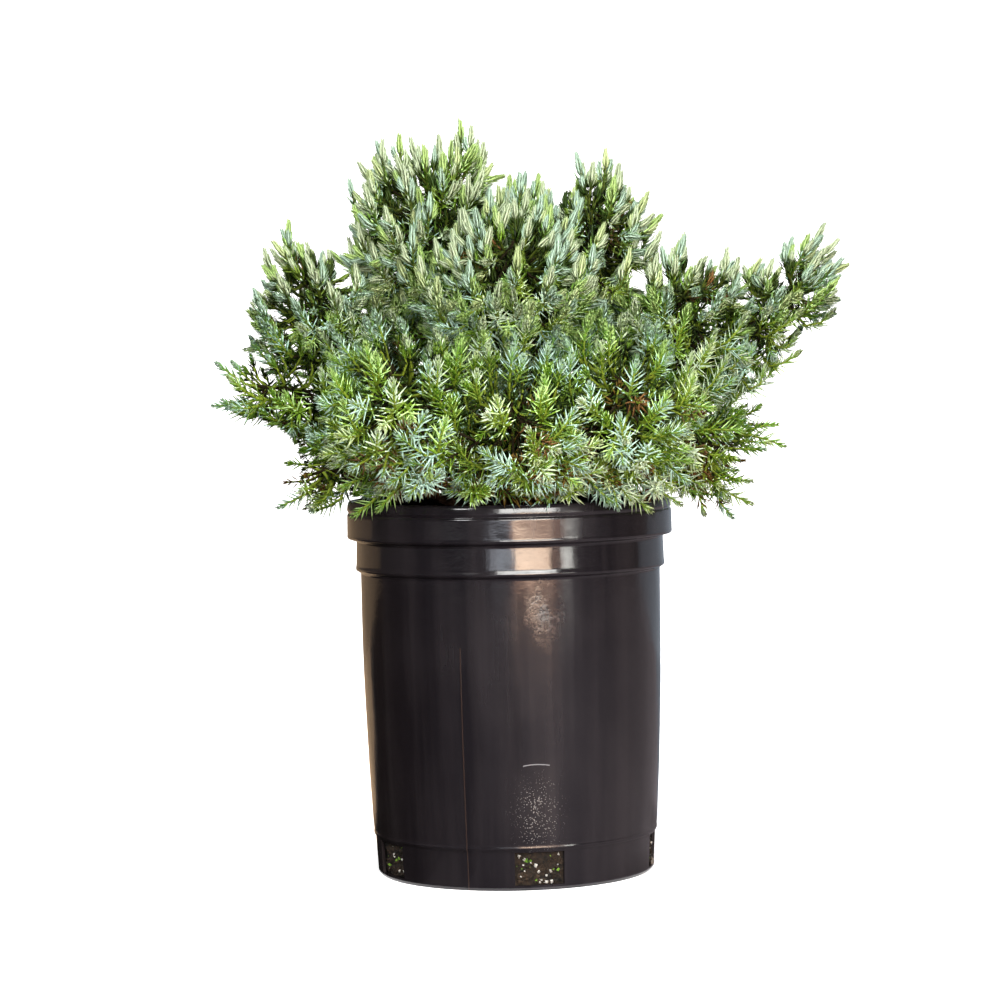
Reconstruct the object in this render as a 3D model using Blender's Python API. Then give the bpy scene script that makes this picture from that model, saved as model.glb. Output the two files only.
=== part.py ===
"""A potted dwarf blue juniper.

A one-gallon nursery pot with five drain holes holds a block of potting mix. A short trunk stands on
the mix and carries one bough for each mass of foliage. Each mass is one stem that branches into
shoots, and every shoot is a slim core with whorls of three needles drawn out of it.

Metres, +Z up. The origin is under the middle of the pot, on the surface that the pot stands on.
The front of the plant faces -Y.
"""

import math
import random
from dataclasses import dataclass

import bmesh
import bpy
from mathutils import Vector

MM = 0.001

# Nursery pot
POT_HEIGHT = 190 * MM
RIM_RADIUS = 82.5 * MM
POT_WALL = 1.6 * MM
POT_FLOOR = 2.2 * MM
POT_SIDES = 45
FOOT_RADIUS = 70.5 * MM
FOOT_BAND = 19.5 * MM
BODY_TOP = 153.5 * MM
BODY_BOW = 1.1 * MM
DRAIN_HOLES = 5
DRAIN_WIDTH = 25 * MM
DRAIN_TOP = 19.0 * MM
DRAIN_BOTTOM = 2.6 * MM
FIRST_DRAIN = math.radians(-80.8)

# Clearance between pieces that touch on the real plant
GAP = 0.3 * MM

# Potting mix
MIX_EDGE = 166 * MM
MIX_MOUND = 2 * MM

# Trunk
TRUNK_FOOT = MIX_EDGE + MIX_MOUND + GAP
TRUNK_TOP = 262 * MM
TRUNK_RADIUS = 6.6 * MM
TRUNK_TIP_RADIUS = 3.0 * MM
ROOT_FLARE = 5.5 * MM
FLARE_HEIGHT = 12 * MM
TRUNK_LEAN = Vector((-4 * MM, 5 * MM, 0))
TRUNK_SIDES = 12

# Boughs and the stems that go on from them
BOUGH_RADIUS = 2.9 * MM
BOUGH_TIP_RADIUS = 1.9 * MM
BOUGH_START = 3.5 * MM
BOUGH_SIDES = 5
STEM_SHOWS = 9 * MM

# Foliage
SEED = 7
CORE_SHARE = 0.80
LEAST_CORE = 0.12
FURTHEST_REACH = 1.15
CORE_STEP = 0.03
SPACE_MARGIN = 0.035
SHOOT_SPACING = 50 * MM
SHOOT_CURVE = 34 * MM
WHORL_STEP = 8.2 * MM
NEEDLE_REACH = 9.0 * MM
NEEDLE_FORWARD = 11.0 * MM
SHOOT_RADIUS = 3.6 * MM
SHOOT_TIP = 9.0 * MM
LEAST_SHANK = 2.0 * MM
LEADER_WHORLS = 2
SIDE_WHORLS = 2
NEEDLE_CLOSING = 0.45
LEADER_REACH = (0.98, 1.12)
SIDE_ANGLE = math.radians(40)
SIDE_FOOT = 30 * MM
SIDE_LENGTH = 35 * MM
STEM_TAPER = 0.8
STEM_STRAIGHT = 2 * MM
POT_CLEARANCE = 1.2 * MM
LIMB_CLEARANCE = 1.0 * MM


@dataclass
class Mass:
    """One mass of foliage: a spheroid of space that its shoots grow out to, along its lean."""

    name: str
    centre: Vector
    lean: Vector
    half_length: float
    half_width: float
    bough_height: float


def mass(name, centre_mm, lean, half_length_mm, half_width_mm, bough_height_mm):
    return Mass(
        name,
        Vector(centre_mm) * MM,
        Vector(lean).normalized(),
        half_length_mm * MM,
        half_width_mm * MM,
        bough_height_mm * MM,
    )


# Name, centre, lean, half length, half width, and the height at which the bough leaves the trunk
MASSES = [
    mass("crest_left", (-40, 14, 327), (0.22, 0.05, 1.0), 57, 49, 250),
    mass("crest_right", (45, 10, 320), (0.12, 0.00, 1.0), 50, 41, 245),
    mass("crown_front", (4, -34, 298), (0.02, -0.45, 0.9), 54, 51, 232),
    mass("crown_back", (4, 56, 310), (0.00, 0.40, 0.9), 57, 50, 240),
    mass("shoulder_left", (-96, 4, 284), (-0.15, -0.05, 0.95), 52, 39, 222),
    mass("shoulder_right", (92, -6, 278), (0.10, 0.00, 0.95), 49, 42, 226),
    mass("arm_right", (133, 8, 279), (0.70, 0.05, 0.72), 57, 31, 208),
    mass("arm_left", (-106, -12, 247), (-1.00, -0.10, 0.12), 47, 31, 200),
    mass("front_left", (-51, -70, 239), (-0.25, -0.70, 0.75), 54, 50, 214),
    mass("front_middle", (2, -82, 229), (0.00, -0.90, 0.45), 54, 51, 206),
    mass("front_right", (54, -70, 236), (0.25, -0.70, 0.70), 54, 50, 210),
    mass("skirt_left", (-80, -30, 211), (-0.85, -0.35, -0.30), 44, 31, 184),
    mass("skirt_right", (90, -16, 217), (0.93, -0.20, -0.20), 48, 37, 188),
    mass("back_left", (-62, 74, 257), (-0.40, 0.70, 0.75), 58, 50, 218),
    mass("back_right", (66, 72, 255), (0.40, 0.70, 0.75), 58, 50, 216),
    mass("back_middle", (2, 98, 236), (0.00, 0.95, 0.35), 53, 48, 200),
    mass("skirt_back_left", (-92, 40, 224), (-0.90, 0.40, 0.05), 47, 38, 190),
    mass("skirt_back_right", (95, 42, 226), (0.90, 0.45, 0.10), 47, 40, 194),
]


def clear_scene():
    for obj in list(bpy.data.objects):
        bpy.data.objects.remove(obj)


def material(name, colour, roughness, metallic=0.0):
    made = bpy.data.materials.new(name)
    made.use_nodes = True
    shader = made.node_tree.nodes["Principled BSDF"]
    shader.inputs["Base Color"].default_value = (*colour, 1.0)
    shader.inputs["Roughness"].default_value = roughness
    shader.inputs["Metallic"].default_value = metallic
    return made


def add_object(name, data, finish):
    data.materials.append(finish)
    obj = bpy.data.objects.new(name, data)
    bpy.context.scene.collection.objects.link(obj)
    return obj


def evaluated_mesh(obj):
    """The object's shape as the viewport shows it, as a mesh of its own."""
    graph = bpy.context.evaluated_depsgraph_get()
    return bpy.data.meshes.new_from_object(obj.evaluated_get(graph))


def turned_mesh(name, profile, sides):
    """Spins a closed-ended profile of (radius, height) points once round the Z axis."""
    bm = bmesh.new()
    points = [bm.verts.new((radius, 0, height)) for radius, height in profile]
    edges = [bm.edges.new(pair) for pair in zip(points, points[1:])]
    bmesh.ops.spin(
        bm,
        geom=points + edges,
        cent=(0, 0, 0),
        axis=(0, 0, 1),
        angle=2 * math.pi,
        steps=sides,
    )
    bmesh.ops.remove_doubles(bm, verts=bm.verts, dist=1e-6)
    bmesh.ops.recalc_face_normals(bm, faces=bm.faces)
    mesh = bpy.data.meshes.new(name)
    bm.to_mesh(mesh)
    bm.free()
    mesh.shade_smooth()
    mesh.set_sharp_from_angle(angle=math.radians(30))
    return mesh


def pot_outside():
    """The pot's outer profile, from the foot up to the rim, as (radius, height) points."""
    body_foot = FOOT_RADIUS + 1.5 * MM
    body_head = RIM_RADIUS - 6.6 * MM
    body = []
    for share in (0.33, 0.67):
        height = FOOT_BAND + share * (BODY_TOP - FOOT_BAND)
        bow = BODY_BOW * math.sin(math.pi * share)
        body.append((body_foot + share * (body_head - body_foot) + bow, height))
    band = RIM_RADIUS - 4.4 * MM
    return [
        (FOOT_RADIUS - 1.2 * MM, 0.0),
        (FOOT_RADIUS, 1.4 * MM),
        (FOOT_RADIUS + 0.9 * MM, FOOT_BAND),
        (body_foot, FOOT_BAND + 0.9 * MM),
        *body,
        (body_head, BODY_TOP),
        (band, BODY_TOP + 1.8 * MM),
        (band + 0.3 * MM, POT_HEIGHT - 21.6 * MM),
        (RIM_RADIUS - 0.4 * MM, POT_HEIGHT - 18.2 * MM),
        (RIM_RADIUS, POT_HEIGHT - 7.0 * MM),
        (RIM_RADIUS - 0.8 * MM, POT_HEIGHT - 6.2 * MM),
        (RIM_RADIUS, POT_HEIGHT - 5.2 * MM),
        (RIM_RADIUS, POT_HEIGHT - 1.2 * MM),
        (RIM_RADIUS - 0.9 * MM, POT_HEIGHT),
    ]


def pot_inside():
    """The pot's inner profile, from the rim down to the floor."""
    turns = (FOOT_BAND + 0.9 * MM, BODY_TOP, POT_HEIGHT - 21.6 * MM, POT_HEIGHT - 18.2 * MM)
    bends = [point for point in reversed(pot_outside()) if point[1] in turns]
    return [
        (RIM_RADIUS - 0.9 * MM - POT_WALL, POT_HEIGHT),
        *((radius - POT_WALL, height) for radius, height in bends),
        (FOOT_RADIUS - POT_WALL, POT_FLOOR),
    ]


def inside_radius(height):
    """The pot's inner radius at a height, between the bends of its inner profile."""
    bends = pot_inside()[::-1]
    for (low_radius, low), (high_radius, high) in zip(bends, bends[1:]):
        if height <= high:
            return low_radius + (high_radius - low_radius) * (height - low) / (high - low)
    return bends[-1][0]


def make_drain_cutters():
    cutters = bpy.data.collections.new("drain_cutters")
    bpy.context.scene.collection.children.link(cutters)
    for number in range(DRAIN_HOLES):
        angle = FIRST_DRAIN + number * 2 * math.pi / DRAIN_HOLES
        bm = bmesh.new()
        bmesh.ops.create_cube(bm, size=1.0)
        depth = 20 * MM
        bmesh.ops.scale(bm, vec=(depth, DRAIN_WIDTH, DRAIN_TOP - DRAIN_BOTTOM), verts=bm.verts)
        bmesh.ops.translate(
            bm, vec=(FOOT_RADIUS, 0, (DRAIN_TOP + DRAIN_BOTTOM) / 2), verts=bm.verts
        )
        mesh = bpy.data.meshes.new(f"drain_cutter_{number}")
        bm.to_mesh(mesh)
        bm.free()
        cutter = bpy.data.objects.new(mesh.name, mesh)
        cutter.rotation_euler.z = angle
        cutter.hide_render = True
        cutter.display_type = "WIRE"
        cutters.objects.link(cutter)
    return cutters


def make_pot(finish):
    profile = [(0.0, 0.0), *pot_outside(), *pot_inside(), (0.0, POT_FLOOR)]
    pot = add_object("pot", turned_mesh("pot", profile, POT_SIDES), finish)
    holes = pot.modifiers.new("drain holes", "BOOLEAN")
    holes.operation = "DIFFERENCE"
    holes.operand_type = "COLLECTION"
    holes.collection = make_drain_cutters()
    return pot


def make_potting_mix(finish):
    """A block that fills the pot, clear of its wall, with a low mound round the trunk."""
    bottom = POT_FLOOR + GAP
    bends = [height for _, height in reversed(pot_inside()) if bottom < height < MIX_EDGE]
    heights = [bottom, *bends, MIX_EDGE]
    side = [(inside_radius(height) - GAP, height) for height in heights]
    profile = [
        (0.0, bottom),
        *side,
        (0.55 * side[-1][0], MIX_EDGE + 0.8 * MIX_MOUND),
        (2.4 * TRUNK_RADIUS, MIX_EDGE + MIX_MOUND),
        (0.0, MIX_EDGE + MIX_MOUND),
    ]
    return add_object("potting_mix", turned_mesh("potting_mix", profile, POT_SIDES), finish)


def carried_frames(points):
    """Two unit vectors across the path at each of its points, carried along without twist."""
    runs = [(end - start).normalized() for start, end in zip(points, points[1:])]
    tangents = [runs[0]]
    tangents += [(before + after).normalized() for before, after in zip(runs, runs[1:])]
    tangents.append(runs[-1])
    side = tangents[0].orthogonal().normalized()
    frames = []
    for tangent in tangents:
        side = (side - tangent * side.dot(tangent)).normalized()
        frames.append((side, tangent.cross(side)))
    return frames


def limb_mesh(name, points, radii, sides):
    """A tapering limb: rings of corners along the points, skinned, with flat ends."""
    bm = bmesh.new()
    rings = []
    for point, radius, (side, up) in zip(points, radii, carried_frames(points)):
        angles = [math.tau * corner / sides for corner in range(sides)]
        ring = [point + (side * math.cos(a) + up * math.sin(a)) * radius for a in angles]
        rings.append([bm.verts.new(corner) for corner in ring])
    bm.faces.new(reversed(rings[0]))
    bm.faces.new(rings[-1])
    for low, high in zip(rings, rings[1:]):
        for corner in range(sides):
            after = (corner + 1) % sides
            bm.faces.new((low[corner], low[after], high[after], high[corner]))
    bmesh.ops.triangulate(bm, faces=[face for face in bm.faces if len(face.verts) == 4])
    mesh = bpy.data.meshes.new(name)
    bm.to_mesh(mesh)
    bm.free()
    return mesh


def bend(start, control, end, share):
    """A point of the quadratic curve from start to end that is drawn towards control."""
    return (1 - share) ** 2 * start + 2 * share * (1 - share) * control + share**2 * end


def trunk_axis(height):
    share = (height - TRUNK_FOOT) / (TRUNK_TOP - TRUNK_FOOT)
    return Vector((0, 0, height)) + TRUNK_LEAN * share**2


def trunk_radius(height):
    share = (height - TRUNK_FOOT) / (TRUNK_TOP - TRUNK_FOOT)
    flare = ROOT_FLARE * max(0.0, 1 - (height - TRUNK_FOOT) / FLARE_HEIGHT) ** 2
    return TRUNK_RADIUS + (TRUNK_TIP_RADIUS - TRUNK_RADIUS) * share + flare


def trunk_heights(steps=5):
    """Heights of the trunk's rings, closer together in the root flare."""
    flare = [TRUNK_FOOT + FLARE_HEIGHT * share for share in (0, 0.15, 0.45, 1)]
    rest = (TRUNK_TOP - flare[-1]) / steps
    return flare + [flare[-1] + rest * (step + 1) for step in range(steps)]


def make_trunk(finish):
    points = [trunk_axis(height) for height in trunk_heights()]
    radii = [trunk_radius(height) for height in trunk_heights()]
    return add_object("trunk", limb_mesh("trunk", points, radii, TRUNK_SIDES), finish)


def spheroid_depth(item, point):
    """How far out a point is in a mass: 0 at its centre, 1 on the surface of its spheroid."""
    offset = point - item.centre
    along = offset.dot(item.lean)
    across = (offset - along * item.lean).length
    return math.hypot(along / item.half_length, across / item.half_width)


def spheroid_point(item, direction, share):
    """The point at that share of the spheroid's radius, for a direction on the unit sphere."""
    along = direction.dot(item.lean)
    across = direction - along * item.lean
    scaled = item.lean * along * item.half_length + across * item.half_width
    return item.centre + scaled * share


def clear_of_pot(point):
    low = point.z < POT_HEIGHT + POT_CLEARANCE
    return not (low and math.hypot(point.x, point.y) < RIM_RADIUS + POT_CLEARANCE)


def limb_distance(point, limb):
    """Clear distance from a point to a limb, given as a list of (point, radius) knots."""
    best = math.inf
    for (start, start_radius), (end, end_radius) in zip(limb, limb[1:]):
        run = end - start
        share = min(1.0, max(0.0, (point - start).dot(run) / run.length_squared))
        radius = start_radius + (end_radius - start_radius) * share
        best = min(best, (point - start - run * share).length - radius)
    return best


def in_space(item, point, limbs, reach=FURTHEST_REACH):
    """True where a point lies in the mass's own space, clear of neighbours, limbs and pot."""
    depth = spheroid_depth(item, point)
    if depth > reach or not clear_of_pot(point):
        return False
    for other in MASSES:
        if other is not item and spheroid_depth(other, point) < depth + SPACE_MARGIN:
            return False
    return all(limb_distance(point, limb) > LIMB_CLEARANCE for limb in limbs)


def even_directions(count, turn):
    """Unit vectors spread evenly over the sphere by the golden angle."""
    for number in range(count):
        height = 1 - 2 * (number + 0.5) / count
        angle = turn + number * math.pi * (3 - math.sqrt(5))
        ring = math.sqrt(1 - height * height)
        yield Vector((ring * math.cos(angle), ring * math.sin(angle), height))


def bough_knots(item):
    """The bough's centreline and radii, from the trunk's bark to where it meets the stem."""
    root = trunk_axis(item.bough_height)
    outward = item.centre - root
    level = Vector((outward.x, outward.y, 0)).normalized()
    start = root + level * (trunk_radius(item.bough_height) + GAP)
    inward = (start - item.centre).normalized()
    core = CORE_SHARE / spheroid_depth(item, item.centre + inward)
    end = item.centre + inward * (core + STEM_SHOWS)
    first = start + level * BOUGH_START
    control = first + level * (end - first).length * 0.5
    shares = (0.0, 0.3, 0.65, 1.0)
    points = [start] + [bend(first, control, end, share) for share in shares]
    taper = (0.0, *shares)
    radii = [BOUGH_RADIUS + (BOUGH_TIP_RADIUS - BOUGH_RADIUS) * share for share in taper]
    return list(zip(points, radii))


def make_bough(item, finish):
    points, radii = zip(*bough_knots(item))
    name = f"bough_{item.name}"
    return add_object(name, limb_mesh(name, points, radii, BOUGH_SIDES), finish)


def across_frame(tangent, helper):
    """Two unit vectors across a tangent, the first as near to helper as it can be."""
    side = (helper - tangent * helper.dot(tangent)).normalized()
    return side, tangent.cross(side)


def shoot_points(path, whorls, turn):
    """Where a shoot's rings and needle tips lie.

    path gives the point and tangent at a distance from the shoot's tip. The rings have three points
    each and turn by 60 degrees from one to the next, as a juniper's whorls of needles do.
    """
    stations = [math.inf] + [SHOOT_TIP + step * WHORL_STEP for step in range(whorls, -1, -1)]
    helper = path(0.0)[1].orthogonal()
    rings, needles = [], []
    for number, from_tip in enumerate(stations):
        centre, tangent = path(from_tip)
        side, up = across_frame(tangent, helper)

        def around(angle, radius, forward=0.0):
            spoke = side * math.cos(angle) + up * math.sin(angle)
            return centre + spoke * radius + tangent * forward

        radius = SHOOT_RADIUS * (1.0 if from_tip > SHOOT_TIP else 0.7)
        angles = [turn + math.radians(60 * number + 120 * corner) for corner in range(3)]
        rings.append([around(angle, radius) for angle in angles])
        if SHOOT_TIP < from_tip < math.inf:
            reach = NEEDLE_REACH * (1.0 - NEEDLE_CLOSING * number / whorls)
            middles = [angle + math.radians(60) for angle in angles]
            needles.append([around(angle, reach, NEEDLE_FORWARD) for angle in middles])
    return rings, needles, path(0.0)[0]


def shoot_mesh(rings, needles, tip):
    """Joins the rings into a closed slim core, with a needle drawn out of every second face."""
    bm = bmesh.new()
    corners = [[bm.verts.new(point) for point in ring] for ring in rings]
    bm.faces.new(reversed(corners[0]))
    for number, (low, high) in enumerate(zip(corners, corners[1:])):
        for corner in range(3):
            after = (corner + 1) % 3
            base = (low[corner], low[after], high[corner])
            if number == 0:
                bm.faces.new(base)
            else:
                point = bm.verts.new(needles[number - 1][corner])
                for first, second in zip(base, base[1:] + base[:1]):
                    bm.faces.new((first, second, point))
            bm.faces.new((high[corner], low[after], high[after]))
    end = bm.verts.new(tip)
    for corner in range(3):
        bm.faces.new((corners[-1][corner], corners[-1][(corner + 1) % 3], end))
    mesh = bpy.data.meshes.new("shoot")
    bm.to_mesh(mesh)
    bm.free()
    return mesh


def curve_length(start, control, end, steps=8):
    points = [bend(start, control, end, step / steps) for step in range(steps + 1)]
    return sum((after - before).length for before, after in zip(points, points[1:]))


def shoot_path(start, control, end):
    """A function from the distance before a shoot's tip to the point and the tangent there."""
    length = curve_length(start, control, end)

    def path(from_tip):
        share = max(0.0, 1 - from_tip / length)
        tangent = (1 - share) * (control - start) + share * (end - control)
        return bend(start, control, end, share), tangent.normalized()

    return path, length


def outline_points(rings, needles, tip):
    """Points all over a shoot: its corners, and some between them along its long edges."""
    corners = [point for ring in rings for point in ring]
    between = [
        low.lerp(high, share)
        for start, end in zip(rings, rings[1:])
        for low, high in zip(start, end)
        for share in (0.25, 0.5, 0.75)
    ]
    blades = [
        corner.lerp(point, share)
        for ring, whorl in zip(rings[1:], needles)
        for corner in ring
        for point in whorl
        for share in (0.5, 1.0)
    ]
    return [tip, *corners, *between, *blades]


def add_shoot(item, parts, limbs, path, length, most_whorls, turn):
    """Adds one shoot to parts, or skips it where it would leave the mass's space."""
    whorls = min(most_whorls, int((length - SHOOT_TIP - LEAST_SHANK) / WHORL_STEP))
    if whorls < 1:
        return False
    rings, needles, tip = shoot_points(path, whorls, turn)
    if not all(in_space(item, point, limbs) for point in outline_points(rings, needles, tip)):
        return False
    parts.append(shoot_mesh(rings, needles, tip))
    return True


def make_core(item, limbs):
    """A lumpy ball inside the mass, drawn in wherever it would leave the mass's own space."""
    lumps = random.Random(f"{SEED} {item.name} core")
    bm = bmesh.new()
    bmesh.ops.create_icosphere(bm, subdivisions=2, radius=1.0)
    directions = {vertex: vertex.co.normalized() for vertex in bm.verts}
    shares = {vertex: CORE_SHARE * lumps.uniform(0.86, 1.06) for vertex in bm.verts}

    def place(vertex):
        vertex.co = spheroid_point(item, directions[vertex], shares[vertex])

    for vertex in bm.verts:
        place(vertex)
    crowded = True
    while crowded:
        crowded = set()
        for face in bm.faces:
            first, second, third = (vertex.co for vertex in face.verts)
            middles = [(first + second) / 2, (second + third) / 2, (third + first) / 2]
            samples = [first, face.calc_center_median(), *middles]
            if not all(in_space(item, point, limbs) for point in samples):
                crowded.update(v for v in face.verts if shares[v] > LEAST_CORE)
        for vertex in crowded:
            shares[vertex] -= CORE_STEP
            place(vertex)
    mesh = bpy.data.meshes.new("core")
    bm.to_mesh(mesh)
    bm.free()
    return mesh


def stem_knots(item):
    """The mass's own stem, from just past its bough's tip to the middle of the mass."""
    (before, _), (foot, radius) = bough_knots(item)[-2:]
    onward = (foot - before).normalized()
    start = foot + onward * GAP
    turned = start + onward * STEM_STRAIGHT
    return [(start, radius), (turned, radius), (item.centre, STEM_TAPER * radius)]


def mass_shoots(item, limbs):
    """The shoots of one mass: leaders spread evenly over its spheroid, each with side shoots."""
    chance = random.Random(f"{SEED} {item.name} shoots")
    parts = []
    area = 4 * math.pi * item.half_width * (0.6 * item.half_length + 0.4 * item.half_width)
    count = round(area / SHOOT_SPACING**2)
    directions = [item.lean, *even_directions(count, chance.uniform(0, math.tau))]
    for number, direction in enumerate(directions):
        reach = 1.0 if number == 0 else chance.uniform(*LEADER_REACH)
        tip = spheroid_point(item, direction, reach)
        normal = (tip - item.centre).normalized()
        heading = (0.55 * normal + 0.45 * item.lean + Vector((0, 0, 0.15))).normalized()
        start = item.centre + (tip - item.centre) * 0.08
        path, length = shoot_path(start, tip - heading * SHOOT_CURVE, tip)
        turn = chance.uniform(0, math.tau)
        if not add_shoot(item, parts, limbs, path, length, LEADER_WHORLS, turn):
            continue
        foot, tangent = path(SIDE_FOOT)
        across = tangent.cross(item.lean + tangent.orthogonal() * 0.3).normalized()
        for side in (-1, 1):
            swing = side * SIDE_ANGLE * chance.uniform(0.8, 1.15)
            heading = tangent * math.cos(swing) + across * math.sin(swing)
            bent = foot + heading * SIDE_LENGTH * 0.5
            side_path, length = shoot_path(foot, bent, foot + heading * SIDE_LENGTH)
            turn = chance.uniform(0, math.tau)
            add_shoot(item, parts, limbs, side_path, length, SIDE_WHORLS, turn)
    return parts


def largest_shell(mesh):
    """Keeps a mesh's largest closed shell, which fills sealed hollows and drops loose scraps."""
    bm = bmesh.new()
    bm.from_mesh(mesh)
    unseen = set(bm.faces)
    shells = []
    while unseen:
        shell = {unseen.pop()}
        edge_of_shell = list(shell)
        while edge_of_shell:
            face = edge_of_shell.pop()
            found = {linked for edge in face.edges for linked in edge.link_faces} & unseen
            unseen -= found
            shell |= found
            edge_of_shell += found
        shells.append(shell)
    largest = max(shells, key=len)
    scraps = [face for shell in shells if shell is not largest for face in shell]
    bmesh.ops.delete(bm, geom=scraps, context="FACES")
    bmesh.ops.triangulate(bm, faces=bm.faces)
    bm.to_mesh(mesh)
    bm.free()


def make_mass(item, limbs, finish):
    """Joins a mass's core, stem and shoots into one solid."""
    joined = add_object(item.name, make_core(item, limbs), finish)
    others = bpy.data.collections.new(f"{item.name}_parts")
    bpy.context.scene.collection.children.link(others)
    points, radii = zip(*stem_knots(item))
    stem = limb_mesh("stem", points, radii, BOUGH_SIDES)
    for mesh in [stem, *mass_shoots(item, limbs)]:
        others.objects.link(bpy.data.objects.new(mesh.name, mesh))
    union = joined.modifiers.new("join", "BOOLEAN")
    union.operation = "UNION"
    union.operand_type = "COLLECTION"
    union.collection = others
    union.solver = "MANIFOLD"
    mesh = evaluated_mesh(joined)
    joined.modifiers.remove(union)
    largest_shell(mesh)
    joined.data = mesh
    for obj in list(others.objects):
        bpy.data.objects.remove(obj)
    bpy.data.collections.remove(others)
    return joined


def main():
    clear_scene()
    plastic = material("black_plastic", (0.012, 0.011, 0.011), 0.28)
    mix = material("potting_mix", (0.045, 0.026, 0.015), 0.95)
    bark = material("bark", (0.16, 0.085, 0.045), 0.85)
    foliage = material("needles", (0.19, 0.33, 0.20), 0.6)
    make_pot(plastic)
    make_potting_mix(mix)
    make_trunk(bark)
    trunk = [(trunk_axis(height), trunk_radius(height)) for height in trunk_heights()]
    for item in MASSES:
        make_bough(item, bark)
    boughs = [bough_knots(item) for item in MASSES]
    for item in MASSES:
        stems = [stem_knots(other) for other in MASSES if other is not item]
        make_mass(item, [trunk, *boughs, *stems], foliage)


main()
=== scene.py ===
# %% [markdown]
# # A potted dwarf blue juniper
# This lesson dresses a measured plant: a near-black nursery pot, filled with potting mix, under a dense
# crown of short blue-green shoots. The solids of the pot, trunk, boughs and masses of foliage come in as
# a fixed frame. Every piece below is built over them in the same metres, so nothing has to be fitted.

import math
import random
from functools import partial

import bmesh
import bpy
import numpy as np
from mathutils import Matrix, Vector, noise


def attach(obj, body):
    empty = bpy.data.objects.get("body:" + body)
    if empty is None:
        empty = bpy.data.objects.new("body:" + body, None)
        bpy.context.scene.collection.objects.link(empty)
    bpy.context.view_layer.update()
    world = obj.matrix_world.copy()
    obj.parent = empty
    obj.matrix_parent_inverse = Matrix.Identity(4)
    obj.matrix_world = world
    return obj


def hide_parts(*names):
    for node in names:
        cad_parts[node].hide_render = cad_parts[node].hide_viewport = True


MM = 0.001
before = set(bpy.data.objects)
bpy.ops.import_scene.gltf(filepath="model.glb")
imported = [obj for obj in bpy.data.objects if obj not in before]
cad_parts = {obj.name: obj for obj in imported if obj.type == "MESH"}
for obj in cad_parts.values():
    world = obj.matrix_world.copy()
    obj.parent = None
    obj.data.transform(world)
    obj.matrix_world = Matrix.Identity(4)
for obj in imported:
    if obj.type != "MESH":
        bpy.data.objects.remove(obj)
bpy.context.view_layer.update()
scene = bpy.context.scene

# %% [markdown]
# ## The camera
# The photograph was taken from 1.56 m away, a little above the rim, with a long lens held slightly
# turned. Its place was worked out from the ellipses of the pot's bands, which only one height and tilt
# can give, so the camera is built from those angles and is not aimed by eye.

# %% Set the camera
CAMERA_PLACE = Vector((-0.00453, -1.56, 0.260))
CAMERA_DOWN = math.radians(2.62)
CAMERA_ROLL = math.radians(1.2)
FOCAL_PIXELS = 3065
SENSOR = 36.0
IMAGE_PIXELS = 1000

view = Vector((0, math.cos(CAMERA_DOWN), -math.sin(CAMERA_DOWN)))
level = Vector((1, 0, 0))
upright = level.cross(view)
right = level * math.cos(CAMERA_ROLL) - upright * math.sin(CAMERA_ROLL)
top = upright * math.cos(CAMERA_ROLL) + level * math.sin(CAMERA_ROLL)
camera_data = bpy.data.cameras.new("camera")
camera_data.sensor_width = SENSOR
camera_data.lens = FOCAL_PIXELS / IMAGE_PIXELS * SENSOR
camera_data.clip_start = 0.05
camera = bpy.data.objects.new("camera", camera_data)
turn = Matrix((right, top, -view)).transposed().to_4x4()
camera.matrix_world = Matrix.Translation(CAMERA_PLACE) @ turn
scene.collection.objects.link(camera)
scene.camera = camera
print("lens", round(camera_data.lens, 1), "mm")

# %% [markdown]
# ## Floor and light
# The plant stands in a white studio. A floor that sweeps up into a backdrop gives the white ground with
# no horizon line. Small soft lights from above and from the front left model the crown. Cards, curtains
# and a dark flag, none of which the camera sees, shape the reflections in the glossy pot.


# %% Helpers for nodes and materials
def new_material(name):
    """A material with a Principled shader, and handles to its node tree and shader."""
    made = bpy.data.materials.new(name)
    made.use_nodes = True
    return made, made.node_tree, made.node_tree.nodes["Principled BSDF"]


def plain_material(name, colour, roughness=0.6, gloss=0.5):
    made, _, shader = new_material(name)
    shader.inputs["Specular IOR Level"].default_value = gloss
    shader.inputs["Base Color"].default_value = (*colour, 1.0)
    shader.inputs["Roughness"].default_value = roughness
    return made


def link_object(name, mesh, material=None):
    if material is not None:
        mesh.materials.append(material)
    made = bpy.data.objects.new(name, mesh)
    scene.collection.objects.link(made)
    return made


def hide_from(thing, *rays):
    """Hides an object from the named kinds of ray."""
    for ray in rays:
        setattr(thing, f"visible_{ray}", False)


def set_glow(material, colour, strength):
    shader = material.node_tree.nodes["Principled BSDF"]
    shader.inputs["Emission Color"].default_value = (*colour, 1.0)
    shader.inputs["Emission Strength"].default_value = strength
    material.cycles.emission_sampling = "NONE"


def ring_quads(rows, sides, kept=lambda row, corner: True):
    """Quads between rings of points that follow one another, without those that aren't kept."""
    quads = []
    for row in range(rows - 1):
        low, high = row * sides, (row + 1) * sides
        for corner in range(sides):
            after = (corner + 1) % sides
            if kept(row, corner):
                quads.append((low + corner, low + after, high + after, high + corner))
    return quads


def weld(mesh):
    """Joins doubled points and turns every face outwards."""
    trimmer = bmesh.new()
    trimmer.from_mesh(mesh)
    bmesh.ops.remove_doubles(trimmer, verts=trimmer.verts, dist=1e-6)
    bmesh.ops.recalc_face_normals(trimmer, faces=trimmer.faces)
    trimmer.to_mesh(mesh)
    trimmer.free()


# %% Build the sweep of floor and backdrop
SWEEP_WIDTH = 5.0
SWEEP_FRONT = -3.0
SWEEP_BACK = 1.9
SWEEP_RADIUS = 0.9
SWEEP_TOP = 3.2
SWEEP_GLOW = 0.7

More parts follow.
